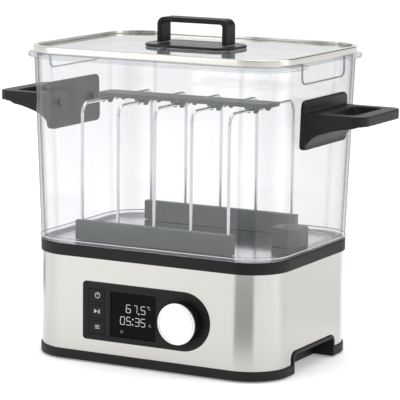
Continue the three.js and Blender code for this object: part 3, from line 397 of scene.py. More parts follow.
def clear(name, face, rim, gloss=0.03, grip=0.25, lines=0.0):
    """See-through wall: it tints more and mirrors more the flatter it is looked along.

    lines paints two thin dark stripes beside each upright corner, a painted shade for where a thick wall
    bends the view."""
    f = Finish(name)
    edge = f.add("ShaderNodeLayerWeight")
    edge.inputs["Blend"].default_value = 0.5
    haze = f.between(f.noise(35, 4, 0.6), 0.985, 1.0)
    side = tuple(c * 0.985 for c in face)
    slant = tuple(c * 0.9 for c in face)
    tint = f.ramp(edge.outputs["Facing"], (0.0, face), (0.5, side), (0.8, slant), (1.0, rim))
    shaded = f.mix(1.0, tint, haze, "MULTIPLY")
    if lines:
        split = f.add("ShaderNodeSeparateXYZ")
        f.tie(f.nodes["Texture Coordinate"].outputs["Normal"], split.inputs["Vector"])
        turned = f.maths("ABSOLUTE", f.maths("MULTIPLY", split.outputs["X"], split.outputs["Y"]))
        low = 1 - lines
        stripes = f.ramp(turned, (0.0, 1.0), (0.04, 1.0), (0.1, low), (0.2, 1.0), (0.36, 1.0), (0.5, 0.94))
        shaded = f.mix(1.0, shaded, stripes, "MULTIPLY")
        upright = f.ramp(f.maths("ABSOLUTE", split.outputs["Z"]), (0.2, 1.0), (0.5, 0.0))
        outline = f.ramp(
            edge.outputs["Facing"], (0.0, 1.0), (0.56, 1.0), (0.72, 0.78), (0.9, 0.42), (1.0, 0.3)
        )
        shaded = f.mix(upright, shaded, f.mix(1.0, shaded, outline, "MULTIPLY"))
    through = f.add("ShaderNodeBsdfTransparent")
    f.tie(shaded, through.inputs["Color"])
    shine = f.add("ShaderNodeBsdfGlossy")
    shine.inputs["Roughness"].default_value = gloss
    f.tie(f.ramp(f.noise(60, 2), (0.0, 0.93), (1.0, 1.0)), shine.inputs["Color"])
    edge_on = min(1.0, grip * 1.8)
    mirror = f.ramp(edge.outputs["Facing"], (0.0, 0.03), (0.55, 0.05), (0.85, grip), (1.0, edge_on))
    mixer = f.add("ShaderNodeMixShader")
    f.tie(mirror, mixer.inputs["Fac"])
    f.tie(through.outputs["BSDF"], mixer.inputs[1])
    f.tie(shine.outputs["BSDF"], mixer.inputs[2])
    f.tie(mixer.outputs["Shader"], f.nodes["Material Output"].inputs["Surface"])
    f.nodes.remove(f.shader)
    return f.material


def printed(name, colour, glow=0.0):
    """Ink or lit segments: nearly flat, with a faintly uneven cover."""
    f = Finish(name)
    shade = f.ramp(f.noise(700, 3), (0.2, tuple(c * 0.86 for c in colour)), (0.8, colour))
    f.colour(shade).set(Roughness=0.45)
    # glow gives off light: true of the lit display segments, painted light on the button ink
    if glow:
        f.tie(shade, f.shader.inputs["Emission Color"])
        f.set(Emission_Strength=glow)
    return f.material


def knob_face():
    """Spun metal: rings round the knob's own axis."""
    f = Finish("spun_knob_metal")
    f.set(Metallic=1.0)
    low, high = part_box("knob_cap")
    middle = (low + high) / 2
    shift = f.add("ShaderNodeMapping", vector_type="POINT")
    shift.inputs["Location"].default_value = -middle
    f.tie(f.place, shift.inputs["Vector"])
    split = f.add("ShaderNodeSeparateXYZ")
    f.tie(shift.outputs["Vector"], split.inputs["Vector"])
    flat = f.add("ShaderNodeCombineXYZ")
    f.tie(split.outputs["X"], flat.inputs["X"])
    f.tie(split.outputs["Z"], flat.inputs["Y"])
    rings = f.add("ShaderNodeTexNoise", noise_dimensions="1D")
    rings.inputs["Scale"].default_value = 2600
    rings.inputs["Detail"].default_value = 3
    f.tie(f.vectors("LENGTH", flat.outputs["Vector"]), rings.inputs["W"])
    f.colour(f.ramp(rings.outputs["Fac"], (0.3, (0.74, 0.74, 0.735)), (0.7, (0.86, 0.86, 0.855))))
    f.roughness(f.between(rings.outputs["Fac"], 0.2, 0.34))
    f.bump(rings.outputs["Fac"], 0.004, 0.3)
    return f.material


def board():
    """Solder mask over copper tracks."""
    f = Finish("solder_mask_board")
    tracks = f.add("ShaderNodeTexBrick")
    tracks.inputs["Scale"].default_value = 220
    tracks.inputs["Color1"].default_value = (0.01, 0.09, 0.035, 1)
    tracks.inputs["Color2"].default_value = (0.015, 0.13, 0.05, 1)
    tracks.inputs["Mortar"].default_value = (0.06, 0.22, 0.08, 1)
    f.tie(f.place, tracks.inputs["Vector"])
    f.colour(tracks.outputs["Color"]).roughness(f.between(f.noise(300), 0.3, 0.5))
    f.bump(tracks.outputs["Fac"], 0.03, 0.4)
    return f.material


def floor_finish():
    """Pale floor that greys in soft sectors, so that upright metal shows light and dark bands."""
    f = Finish("pale_studio_floor")
    shade = f.ramp(f.noise(3, 3), (0.3, 0.86), (0.7, 0.89))

    def sector(apex, azimuth, half, grey, start, reach, under):
        """Greys a sector of the floor between two distances from its apex, start and reach, in metres.

        It faces azimuth degrees from the front towards the right, and half is half its width in degrees."""
        angle = math.radians(azimuth)
        shift = f.vectors("SUBTRACT", f.place, apex, output="Vector")
        unit = f.vectors("NORMALIZE", shift, output="Vector")
        toward = f.vectors("DOT_PRODUCT", unit, (math.sin(angle), -math.cos(angle), 0))
        inside = f.fade(toward, math.cos(math.radians(half + 5)), math.cos(math.radians(half - 3)))
        length = f.vectors("LENGTH", shift)
        ring = f.maths("MULTIPLY", f.fade(length, reach, reach * 0.7), f.fade(length, start, start + 0.08))
        return f.mix(f.maths("MULTIPLY", inside, ring), under, (grey, grey, grey))

    corner_x, front, rear = 0.088, -0.055, 0.056  # near the middles of the base's rounded corners
    for apex, azimuth, half, grey, start, reach in (
        ((corner_x, front, 0), 10, 24, 0.3, 0.12, 0.75),
        ((-corner_x, front, 0), -113, 12, 0.3, 0.28, 0.62),
        ((corner_x, rear, 0), 125, 30, 0.74, 0.12, 0.7),
    ):
        shade = sector(apex, azimuth, half, grey, start, reach, shade)
    f.colour(shade).set(Roughness=0.9, Specular_IOR_Level=0.1, Emission_Strength=0.3)
    f.tie(shade, f.shader.inputs["Emission Color"])
    return f.material


CHARCOAL = plastic(
    "charcoal_shell_plastic", (0.0085, 0.0085, 0.009), (0.013, 0.013, 0.0135), 0.5, 1400, 0.05
)
TRIM = plastic(
    "charcoal_notch_trim_plastic", (0.0085, 0.0085, 0.009), (0.013, 0.013, 0.0135), 0.46, 1500, 0.03
)
HANDLE = plastic("charcoal_handle_plastic", (0.008, 0.008, 0.0085), (0.013, 0.013, 0.0135), 0.42, 1300, 0.04)
STRAP = plastic("black_lid_handle_plastic", (0.005, 0.005, 0.0055), (0.009, 0.009, 0.0095), 0.42, 1600, 0.03)
LID_PLATE = plastic("black_lid_plate_plastic", (0.012, 0.012, 0.013), (0.02, 0.02, 0.021), 0.3, 1700, 0.015)
PANEL = plastic("black_panel_plastic", (0.006, 0.006, 0.006), (0.010, 0.010, 0.010), 0.44, 1800, 0.02)
BUTTON = plastic("black_button_plastic", (0.006, 0.006, 0.006), (0.010, 0.010, 0.010), 0.5, 1500, 0.03)
KNOB_SIDE = plastic("black_knob_plastic", (0.005, 0.005, 0.005), (0.009, 0.009, 0.009), 0.36, 1700, 0.02)
RACK = plastic("anthracite_rack_plastic", (0.12, 0.132, 0.135), (0.15, 0.162, 0.166), 0.42, 1300, 0.03)
PUMP = plastic("anthracite_pump_plastic", (0.095, 0.103, 0.106), (0.115, 0.124, 0.128), 0.45, 1300, 0.03)
WHITE = plastic("white_moulded_plastic", (0.62, 0.62, 0.6), (0.74, 0.74, 0.72), 0.4, 1200, 0.02)
RUBBER = plastic("black_foot_rubber", (0.012, 0.012, 0.012), (0.022, 0.021, 0.021), 0.75, 900, 0.06)
GLAND = plastic("black_gland_rubber", (0.010, 0.010, 0.010), (0.02, 0.02, 0.02), 0.62, 1000, 0.05)
SHELL = metal(
    "brushed_steel_shell", (0.525, 0.512, 0.49), (0.57, 0.557, 0.533), 0.2, (5, 5, 3200), 0.04, 0.7, 0.0008
)
RIM = metal(
    "satin_steel_rim", (0.57, 0.555, 0.525), (0.62, 0.605, 0.57), 0.22, (5, 5, 3000), 0.05, 0.3, 0.0015
)
SHEET = metal("polished_steel_floor", (0.72, 0.72, 0.73), (0.80, 0.80, 0.81), 0.12, (600, 3, 3), 0.05, 0)
WIRE = metal("bright_steel_wire", (0.62, 0.63, 0.64), (0.8, 0.81, 0.82), 0.2, (500, 500, 20), 0.06, 0)
WALL_SCREW = metal(
    "darkened_steel_screw", (0.10, 0.10, 0.105), (0.16, 0.16, 0.165), 0.4, (300, 300, 300), 0.08, 0
)
SCREW = metal("plain_steel_screw", (0.5, 0.5, 0.5), (0.66, 0.66, 0.66), 0.3, (300, 300, 300), 0.08, 0)
SHAFT = metal("turned_steel_shaft", (0.5, 0.5, 0.51), (0.66, 0.66, 0.67), 0.25, (20, 1500, 20), 0.07, 0)
TUBE = metal("steel_heating_tube", (0.4, 0.4, 0.41), (0.56, 0.56, 0.57), 0.34, (200, 200, 200), 0.08, 0)
CAN = metal("zinc_plated_motor_can", (0.45, 0.45, 0.46), (0.6, 0.6, 0.61), 0.36, (3, 3, 800), 0.08, 0)
CAST = metal(
    "cast_aluminium_plate", (0.5, 0.5, 0.51), (0.62, 0.62, 0.63), 0.48, (700, 700, 700), 0.1, 0, 0.03
)
MAGNET = metal("ground_magnet_disc", (0.3, 0.3, 0.31), (0.4, 0.4, 0.41), 0.4, (900, 3, 3), 0.08, 0)
BRASS = metal("turned_brass_probe", (0.55, 0.38, 0.13), (0.7, 0.5, 0.2), 0.3, (3, 3, 1200), 0.08, 0)
DIECAST = metal("diecast_encoder", (0.45, 0.45, 0.46), (0.58, 0.58, 0.59), 0.44, (500, 500, 500), 0.08, 0)
KNOB_FACE = knob_face()
# painted shade: grey see-through rings that draw the step round each rim pocket, where the clear wall bends
# the light
TANK_POCKET_SHADE = clear("clear_tank_pocket_painted_shade", (0.62, 0.62, 0.645), (0.3, 0.3, 0.32), 0.05, 0.2)
TANK = clear("clear_tank_plastic", (0.953, 0.955, 0.961), (0.42, 0.43, 0.45), 0.03, 0.22, 0.09)
GLASS = clear("clear_lid_glass", (0.975, 0.982, 0.978), (0.66, 0.7, 0.69), 0.02, 0.55)
SILICONE = clear("translucent_silicone", (0.86, 0.87, 0.875), (0.5, 0.52, 0.53), 0.3)
# painted highlight: a bright ring along the top of the tank's foot band, standing in for the light its
# rounded edge catches
FOOT_HIGHLIGHT = plastic(
    "painted_highlight_foot_edge", (0.55, 0.56, 0.59), (0.68, 0.69, 0.72), 0.2, 1500, 0.01, 14, 0.6
)
BOARD = board()
DIGITS = printed("lit_display_segments", (0.86, 0.9, 0.93), 0.75)
FAINT = printed("dim_display_marks", (0.10, 0.11, 0.115), 0.1)
# the ink's faint glow is painted light: printed ink gives off none
INK = printed("pale_grey_button_ink_painted_glow", (0.55, 0.55, 0.55), 0.05)


def window_finish():
    """Deep black lens with a faint smear in its gloss."""
    f = Finish("gloss_black_display_lens")
    f.colour(f.ramp(f.noise(18), (0.3, 0.0035), (0.8, 0.006)))
    f.roughness(f.between(f.noise(40, 5, 0.7), 0.07, 0.16)).set(IOR=1.45, Specular_IOR_Level=0.06)
    f.bump(f.noise(900, 2), 0.002, 0.2)
    return f.material


WINDOW = window_finish()

# ------------------------------------------------------------------ levels, from the frame
skirt_low, skirt_high = 1.5, 10.0
shell_low, shell_high = (v.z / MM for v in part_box("steel_shell"))
collar_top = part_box("collar")[1].z / MM
collar_low = shell_high + 0.3
tank_low, tank_top = (v.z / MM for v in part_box("tank_shell"))
rim_low, rim_top = (v.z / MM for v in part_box("lid_rim"))
glass_low, glass_top = (v.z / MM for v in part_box("lid_glass"))
seal_low, seal_top = (v.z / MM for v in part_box("lid_seal"))


# ------------------------------------------------------------------ base
NOTCH_HALF, NOTCH_TOP, NOTCH_CORNER = 44.3, 22, 7  # the hand notch at each end


def notch(sign, reach, grow=0.3):
    """A cutter for a hand notch, on the side that sign gives."""
    near, far = BASE[0] - reach, BASE[0] + BIG
    x = (near, far) if sign > 0 else (-far, -near)
    half = NOTCH_HALF + grow
    return block(
        x, (MID_Y - half, MID_Y + half), (-BIG, NOTCH_TOP + grow), NOTCH_CORNER, axis=0, steps=8,
        test=lambda at: at.z > 0,
    )


def steel_shell():
    skin = grown(BASE, -1.5, (shell_low, shell_high), steps=22)
    cut(skin, grown(BASE, -2.5, (shell_low - 1, shell_high + 1), steps=22))
    opening = block((-62.9, 64.4), (-100, -80), (24.0, 74.6), 24, axis=1, test=lambda at: at.x > 0)
    cut(skin, opening, notch(1, 30), notch(-1, 30))
    cut(skin, drum((70, 26), 6.3, (86, 100), axis=1, sides=32))
    keep(skin, "shell_skin", "base", SHELL, ["steel_shell"])


def base_pan():
    skirt = grown(BASE, 0, (skirt_low, skirt_high), 0.7, steps=22)
    cut(skirt, grown(BASE, -3.5, (6.5, 20), steps=22))
    cut(skirt, grown(BASE, -3.5, (-5, 4), steps=22))
    lip = grown(BASE, -2.8, (6.0, 16.0), 0.4, steps=22)
    cut(lip, grown(BASE, -4.8, (0, 30), steps=22))
    fuse(skirt, lip)
    cut(skirt, notch(1, 22.3), notch(-1, 22.3))
    keep(skirt, "base_skirt", "base", CHARCOAL, ["base_pan"])


def collar():
    band = grown(BASE, 0, (collar_low, collar_top), 0.7, steps=22)
    cut(band, grown(BASE, -3.2, (105.3, 120), steps=22))
    cut(band, grown(BASE, -4.8, (80, 103.3), steps=22))
    lip = grown(BASE, -2.8, (91.8, 104.0), 0.4, steps=22)
    cut(lip, grown(BASE, -4.8, (80, 120), steps=22))
    fuse(band, lip)
    low, high = (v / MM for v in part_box("heating_plate"))
    cut(band, block((low.x + 3.4, high.x - 3.4), (low.y + 3.4, high.y - 3.4), (90, 120), 12.6))
    keep(band, "collar_band", "base", CHARCOAL, ["collar"])


def notch_trims():
    """A rounded arch lines each notch. A thin upright wall closes it, and its mouth has a stepped edge."""
    far = BASE[0]
    arch = block(
        (far - 22, far), (MID_Y - NOTCH_HALF, MID_Y + NOTCH_HALF), (skirt_low, NOTCH_TOP), NOTCH_CORNER, 0.6,
        axis=0, steps=8, test=lambda at: at.z > 10,
    )
    for x, wall in ((far - 20, 3.7), (far - 0.9, 2.8)):
        half = NOTCH_HALF - wall
        corner = NOTCH_CORNER + 0.7 - wall
        cut(arch, block(
            (x, far + 20), (MID_Y - half, MID_Y + half), (-20, NOTCH_TOP - wall), corner, axis=0, steps=6,
            test=lambda at: at.z > 0,
        ))
    left = twin(arch)
    keep(arch, "notch_arch_right", "base", TRIM, ["notch_trim_right"])
    keep(left, "notch_arch_left", "base", TRIM, ["notch_trim_left"])


def feet():
    for name in ("front_left", "front_right", "rear_left", "rear_right"):
        low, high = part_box("foot_" + name)
        x, y = ((low + high) / 2 / MM).xy
        foot = drum((x, y), 9, (0, 3.7), sides=40, edge=0.8)
        cut(foot, drum((x, y), 6, (-5, 0.7), sides=32))
        fuse(foot, drum((x, y), 4.6, (-0.0, 1.2), sides=32, edge=0.25))
        fuse(foot, drum((x, y), 2.5, (3.0, 7.5), sides=20, edge=0.4))
        keep(foot, "rubber_foot_" + name, "base", RUBBER, ["foot_" + name])


def cord_gland():
    low, high = (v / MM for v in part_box("cord_gland"))
    at = ((low.x + high.x) / 2, (low.z + high.z) / 2)
    gland = drum(at, 6, (low.y, high.y - 2), axis=1, sides=40, edge=0.5)
    fuse(gland, drum(at, 8.5, (high.y - 3, high.y), axis=1, sides=40, edge=0.9))
    fuse(gland, drum(at, 7.1, (low.y, low.y + 2), axis=1, sides=40, edge=0.5))
    cut(gland, drum(at, 3.6, (low.y - 5, high.y + 5), axis=1, sides=32))
    ease(gland, 0.25)
    keep(gland, "gland_body", "base", GLAND, ["cord_gland"])


# ------------------------------------------------------------------ control panel
FACE_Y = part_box("panel_bezel")[0].y / MM
PANEL_MIDDLE = (49.3, 39.1)  # Z of the panel, X of the knob


def control_panel():
    z, knob_x = PANEL_MIDDLE
    back = FACE_Y + 7
    left, right, half = -64.6, 66.1, 27
    inset = 2  # from the edge of the face to the plug behind it

    def slab(by, y):
        """A plate with a half-round right end, inside the outline of the face by a distance."""
        tall = half - by
        return block((left + by, right - by), y, (z - tall, z + tall), tall - 0.01, axis=1, steps=40,
                     test=lambda at: at.x > 0)

    bezel = slab(0, (FACE_Y, FACE_Y + 1.2))
    round_corners(bezel, 1, 3, 6, lambda at: at.x < left + 4.6)
    soften_ends(bezel, 1, 0.5)
    fuse(bezel, slab(inset, (FACE_Y + 1.0, back)))
    low, high = (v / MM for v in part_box("display_window"))
    pocket = block((low.x - 0.3, high.x + 0.3), (FACE_Y - 9, low.y + 1.7), (low.z - 0.3, high.z + 0.3),
                   1.2, axis=1, steps=4)
    through = block((low.x + 1.5, high.x - 1.5), (FACE_Y - 9, back + 9), (low.z + 1.5, high.z - 1.5))
    cut(bezel, pocket, through)
    for name in ("power", "start", "menu"):
        b_low, b_high = (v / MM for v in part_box("button_" + name))
        cut(bezel, block(
            (b_low.x + 0.8, b_high.x - 0.8), (FACE_Y - 9, back + 9), (b_low.z - 0.3, b_high.z + 0.3),
            1.0, axis=1, steps=4,
        ))
    well = drum((knob_x, z), 21.4, (FACE_Y - 9, FACE_Y + 0.5), axis=1, sides=96)
    shaft_hole = drum((knob_x, z), 5.1, (FACE_Y - 9, back + 9), axis=1, sides=40)
    cut(bezel, well, shaft_hole)
    ease(bezel, 0.28)
    keep(bezel, "panel_face", "base", PANEL, ["panel_bezel"])


def display():
    low, high = (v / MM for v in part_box("display_window"))
    lens = boxed(low, high, 1.0, 0.25, axis=1, steps=4)
    keep(lens, "display_lens", "base", WINDOW, ["display_window"])
    front = low.y
    raised = (front - 0.12, front + 0.1)

    def stroke(x, z, length, upright, thick, lean):
        """A pointed bar of a digit; x and z are where its middle lies."""
        bar = block((x - length / 2, x + length / 2), raised, (z - thick / 2, z + thick / 2))
        edit(bar)
        choose(bar, "VERT", lambda v: abs(abs(v.co.x / MM - x) - length / 2) < 1e-4)
        bpy.ops.transform.resize(value=(1, 1, 0.25), center_override=mm(x, front, z))
        done()
        bar.data.transform(Matrix.Translation(-mm(x, 0, z)))
        if upright:
            bar.data.transform(Matrix.Rotation(math.pi / 2 - lean, 4, "Y"))
        bar.data.transform(Matrix.Translation(mm(x, 0, z)))
        return bar

    segments = {
        "0": "abcdef", "3": "abcdg", "5": "acdfg", "6": "acdefg", "7": "abc",
        "C": "adef", "h": "cefg",
    }

    def digit(letter, x, z, width, height, thick):
        """The lit strokes of a letter or a number; x and z are its lower left corner."""
        half = height / 2
        middle_x, middle_z = x + width / 2, z + half
        lean = 0.05
        slant = lean * half
        places = {
            "a": (middle_x + slant, z + height, False),
            "g": (middle_x, middle_z, False),
            "d": (middle_x - slant, z, False),
            "b": (x + width + slant / 2, middle_z + half / 2, True),
            "c": (x + width - slant / 2, z + half / 2, True),
            "f": (x + slant / 2, middle_z + half / 2, True),
            "e": (x - slant / 2, z + half / 2, True),
        }
        return [
            stroke(px, pz, (half if up else width) - 0.5 * thick, up, thick, lean)
            for px, pz, up in (places[s] for s in segments[letter])
        ]

    upper_row, lower_row, tall, thick = 51.4, 39.9, 7.2, 0.95
    lit = []
    for letter, x, width in (("6", -19.0, 4.4), ("7", -11.2, 3.4), ("5", -3.8, 4.4)):
        lit += digit(letter, x, upper_row, width, tall, thick)
    for letter, x in (("0", -25.0), ("5", -18.7), ("3", -9.9), ("5", -3.8)):
        lit += digit(letter, x, lower_row, 4.3, tall, thick)
    for x, z in ((-5.9, 51.1), (-12.3, 45.5), (-12.5, 40.6)):
        lit.append(drum((x, z), 0.5, raised, axis=1, sides=16))
    lit += digit("h", 4.7, 40.3, 1.5, 2.6, 0.4)
    lit += digit("C", 4.3, 56.4, 1.6, 2.2, 0.35)
    lit.append(drum((3.3, 58.6), 0.35, raised, axis=1, sides=12))
    keep(gather(lit), "lit_digits", "base", DIGITS)
    pitch = 1.1
    dim = [
        block(
            (-25.2 + i * pitch, -24.6 + i * pitch), (front - 0.08, front + 0.1), (31.6, 34.4), 0.2,
            axis=1, steps=2,
        )
        for i in range(3)
    ]
    keep(gather(dim), "dim_marks", "base", FAINT)


def ring_mark(x, z, radius, thick, ink, gap):
    """A printed ring that is open at its top."""
    ring = drum((x, z), radius, ink, axis=1, sides=40)
    past = (ink[0] - 5, ink[1] + 5)
    cut(ring, drum((x, z), radius - thick, past, axis=1, sides=40))
    cut(ring, block((x - gap, x + gap), past, (z, z + 2 * radius)))
    return ring


def buttons():
    recess = 0.18  # the printed face lies this far below the edge of its cap
    for name in ("power", "start", "menu"):
        low, high = (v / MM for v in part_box("button_" + name))
        x, z = (low.x + high.x) / 2, (low.z + high.z) / 2
        cap = block(
            (low.x + 1.1, high.x - 1.1), (low.y, high.y), (low.z, high.z), 0.8, 0.35, axis=1, steps=4
        )
        flange = block((low.x, high.x), (high.y - 1.2, high.y), (low.z, high.z), 0.5, axis=1, steps=3)
        fuse(cap, flange)
        cut(cap, block(
            (low.x + 2.0, high.x - 2.0), (low.y - 5, low.y + recess), (low.z + 0.9, high.z - 0.9),
            0.6, axis=1, steps=4,
        ))
        keep(cap, "button_cap_" + name, "button_" + name, BUTTON, ["button_" + name])
        front = low.y + recess
        ink = (front - 0.06, front + 0.1)
        if name == "power":
            marks = [
                ring_mark(x + 1.4, z + 0.7, 2.7, 0.6, ink, 0.75),
                block((x + 1.1, x + 1.7), ink, (z + 0.9, z + 3.8), 0.25, axis=1, steps=3),
            ]
        elif name == "start":
            arrow = block((x - 2.0, x + 1.2), ink, (z - 1.4, z + 2.4))
            edit(arrow)
            choose(arrow, "VERT", lambda v: v.co.x / MM > x)
            bpy.ops.transform.resize(value=(1, 1, 0.04), center_override=mm(x, front, z + 0.5))
            done()
            marks = [arrow] + [
                block((x + dx, x + dx + 0.65), ink, (z - 1.3, z + 2.3), 0.2, axis=1, steps=3)
                for dx in (2.1, 3.4)
            ]
        else:
            marks = [
                block((x - 1.1, x + 3.6), ink, (z + dz, z + dz + 0.55), 0.25, axis=1, steps=3)
                for dz in (-0.9, 0.5, 1.9)
            ]
        keep(gather(marks), "button_mark_" + name, "button_" + name, INK)


def knob():
    """A metal disc with a fine ring pressed into its face, on a body with a groove round it."""
    z, x = PANEL_MIDDLE
    radius = 18.9
    low, high = (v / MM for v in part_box("knob_cap"))
    cap = drum((x, z), radius, (low.y, high.y), axis=1, sides=128, edge=0.5)
    cut(cap, drum((x, z), radius - 1.4, (low.y - 5, low.y + 0.5), axis=1, sides=128))
    fuse(cap, drum((x, z), radius - 2, (low.y + 0.05, low.y + 1), axis=1, sides=128, edge=0.2))
    keep(cap, "knob_disc", "knob", KNOB_FACE, ["knob_cap"])
    low, high = (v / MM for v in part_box("knob_body"))
    body = drum((x, z), radius, (low.y, high.y), axis=1, sides=128, edge=0.5)
    groove = drum((x, z), 30, (low.y + 1.2, low.y + 1.8), axis=1, sides=128)
    cut(groove, drum((x, z), radius - 0.5, (low.y - 5, high.y + 5), axis=1, sides=128))
    cut(body, groove, drum((x, z), 3.3, (low.y + 1, high.y + 5), axis=1, sides=32))
    keep(body, "knob_grip", "knob", KNOB_SIDE, ["knob_body"])


# ------------------------------------------------------------------ tank
TANK_LEAN = 5.5  # a wall's top stands this far outside its foot
HALF_WAY = 200  # a level between the tank's foot and its top
POCKET_HALF, POCKET_DEEP, POCKET_CORNER = 44, 18.2, 6  # the pocket under the rim at each end


def leaning(by, z, lean):
    """A block on the outline of the tank's foot, grown by a distance, whose walls lean out."""
    obj = grown(TANK_FOOT, by, z, steps=20)
    half_x, half_y = (size + by for size in TANK_FOOT[:2])
    edit(obj)
    choose(obj, "VERT", lambda v: v.co.z / MM > HALF_WAY)
    bpy.ops.transform.resize(
        value=((half_x + lean) / half_x, (half_y + lean) / half_y, 1), center_override=mm(0, MID_Y, HALF_WAY)
    )
    done()
    return obj


def pocket(x, by, top):
    """A block on the outline of a rim pocket, grown by a distance."""
    half = POCKET_HALF + by
    return block(
        x, (MID_Y - half, MID_Y + half), (tank_top - POCKET_DEEP - by, top), POCKET_CORNER + by,
        axis=0, steps=8, test=lambda at: at.z < tank_top - POCKET_DEEP / 2,
    )


def tank_shell():
    wall = leaning(0, (tank_low, tank_top), TANK_LEAN)
    foot_top = tank_low + 3.7
    band = grown(TANK_FOOT, 0.8, (tank_low, foot_top), 0.8, steps=20)
    flange = grown(TANK_FOOT, 10.8, (tank_top - 4, tank_top), 1.2, corner=43.4, steps=20)
    fuse(wall, band, flange)
    past = 4
    inside = leaning(-2.5, (foot_top, tank_top + past), TANK_LEAN * (1 + past / (tank_top - tank_low)))
    under = grown(TANK_FOOT, -2.5, (tank_low - 9, tank_low + 1.8), steps=20)
    mouth = grown(TANK_FOOT, -8.5, (tank_low - 9, tank_low + 9), corner=30.5, steps=20)
    cut(wall, inside, under, mouth)
    for x in ((129.7, 129.7 + BIG), (-129.7 - BIG, -129.7)):
        cut(wall, pocket(x, 0, tank_top + BIG))
    ease(wall, 0.45)
    keep(wall, "tank_wall", "tank", TANK, ["tank_shell"])


def tank_edges():
    """A painted highlight along the top of the foot band, for the light its rounded edge catches, and a grey
    painted shade line round each rim pocket, for the pocket's step seen through the clear wall.
    """
    highlight_ring = grown(TANK_FOOT, 0.95, (tank_low + 2.9, tank_low + 3.75), 0.3, corner=37.4, steps=20)
    cut(highlight_ring, grown(TANK_FOOT, 0.5, (tank_low - 5, tank_low + 9), steps=20))
    keep(highlight_ring, "foot_band_painted_highlight", "tank", FOOT_HIGHLIGHT)
    for name, x in (("right", (129.1, 130.9)), ("left", (-130.9, -129.1))):
        edging = pocket(x, 0.7, tank_top - 0.2)
        cut(edging, pocket((x[0] - 5, x[1] + 5), -0.5, tank_top + 9))
        ease(edging, 0.2)
        keep(edging, "pocket_painted_shade_" + name, "tank", TANK_POCKET_SHADE)


def tank_floor():
    low, high = (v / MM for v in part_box("tank_floor"))
    half_x = high.x
    half_y = (high.y - low.y) / 2
    sheet = plan(half_x, half_y, (low.z, high.z), 34, 0.3, steps=20)
    edit(sheet)
    choose(sheet, "FACE", lambda f: f.normal.z > 0.9 and f.calc_area() > 0.01)
    bpy.ops.mesh.inset(thickness=12 * MM)
    bpy.ops.mesh.inset(thickness=1.2 * MM)
    bpy.ops.transform.translate(value=(0, 0, -0.4 * MM))
    done()
    keep(sheet, "tank_floor_sheet", "tank", SHEET, ["tank_floor"], smooth=50)


def handles():
    """A deep plate on the wall, and a loop that thins out towards its grip."""
    low, top, inner, reach = 229.4, 238.4, 132.6, 190.0
    grip = block((inner, reach), (MID_Y - 43, MID_Y + 43), (low, top), 12, steps=12,
                 test=lambda at: at.x > 150)
    under = [
        (185, 228.7), (179, 227.6), (172, 226.4), (165, 225.3), (158, 223.7), (152.5, 222.0), (148, 220.6),
        (144, 219.0), (141, 217.3), (138, 214.8), (135.5, 211.6), (inner, 207.0),
    ]
    edit(grip)
    for x, _ in under[:-1]:
        bpy.ops.mesh.select_all(action="SELECT")
        bpy.ops.mesh.bisect(plane_co=mm(x, 0, 0), plane_no=(1, 0, 0))
    for x, z in under:
        choose(grip, "VERT", lambda v: abs(v.co.x / MM - x) < 0.05 and v.co.z / MM < low + 0.1)
        bpy.ops.transform.translate(value=(0, 0, (z - low) * MM))
    done()
    plate = block((126, 133.6), (MID_Y - 45.5, MID_Y + 45.5), (205, 249.5), 6, axis=0, steps=8)
    opening = block((147.6, 175.5), (MID_Y - 32, MID_Y + 32), (190, 260), 6, steps=8)
    fuse(grip, plate)
    cut(grip, opening)
    mould(grip, 0.8, 7)
    cut(grip, leaning(0.3, (tank_low, tank_top), TANK_LEAN))
    left = twin(grip)
    keep(grip, "loop_handle_right", "tank", HANDLE, ["handle_right"], smooth=50)
    keep(left, "loop_handle_left", "tank", HANDLE, ["handle_left"], smooth=50)


def screw_piece(node, name, body, head_high):
    """A pan head with a cross recess, and its shank. head_high tells which end the head is on."""
    low, high = (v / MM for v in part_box(node))
    size = high - low
    axis = 0 if abs(size.x) > 10 and size.x > size.y else 2
    others = [i for i in range(3) if i != axis]
    centre = [(low[i] + high[i]) / 2 for i in others]
    radius = size[others[0]] / 2
    shank = radius * 0.46 if axis == 0 else 1.3
    start, end = low[axis], high[axis]
    head = (end - 2, end) if head_high else (start, start + 2)
    piece = drum(centre, radius, head, axis=axis, sides=36, edge=0.6)
    fuse(piece, drum(centre, shank, (start, end - 0.5) if head_high else (start + 0.5, end), axis=axis,
                     sides=24, edge=0.3))
    outer = end if head_high else start
    for wide, tall in ((radius * 1.1, 0.8), (0.8, radius * 1.1)):
        spans = [None, None, None]
        spans[axis] = (outer - 1.0, outer + 1.0)
        spans[others[0]] = (centre[0] - wide / 2, centre[0] + wide / 2)
        spans[others[1]] = (centre[1] - tall / 2, centre[1] + tall / 2)
        cut(piece, block(*spans))
    keep(piece, name, body, WALL_SCREW if body == "tank" else SCREW, [node])


def screws():
    for end in ("front", "rear"):
        screw_piece("handle_screw_right_" + end, "wall_screw_right_" + end, "tank", False)
        screw_piece("handle_screw_left_" + end, "wall_screw_left_" + end, "tank", True)
    for side in ("right", "left"):
        screw_piece("lid_screw_" + side, "strap_screw_" + side, "lid", False)


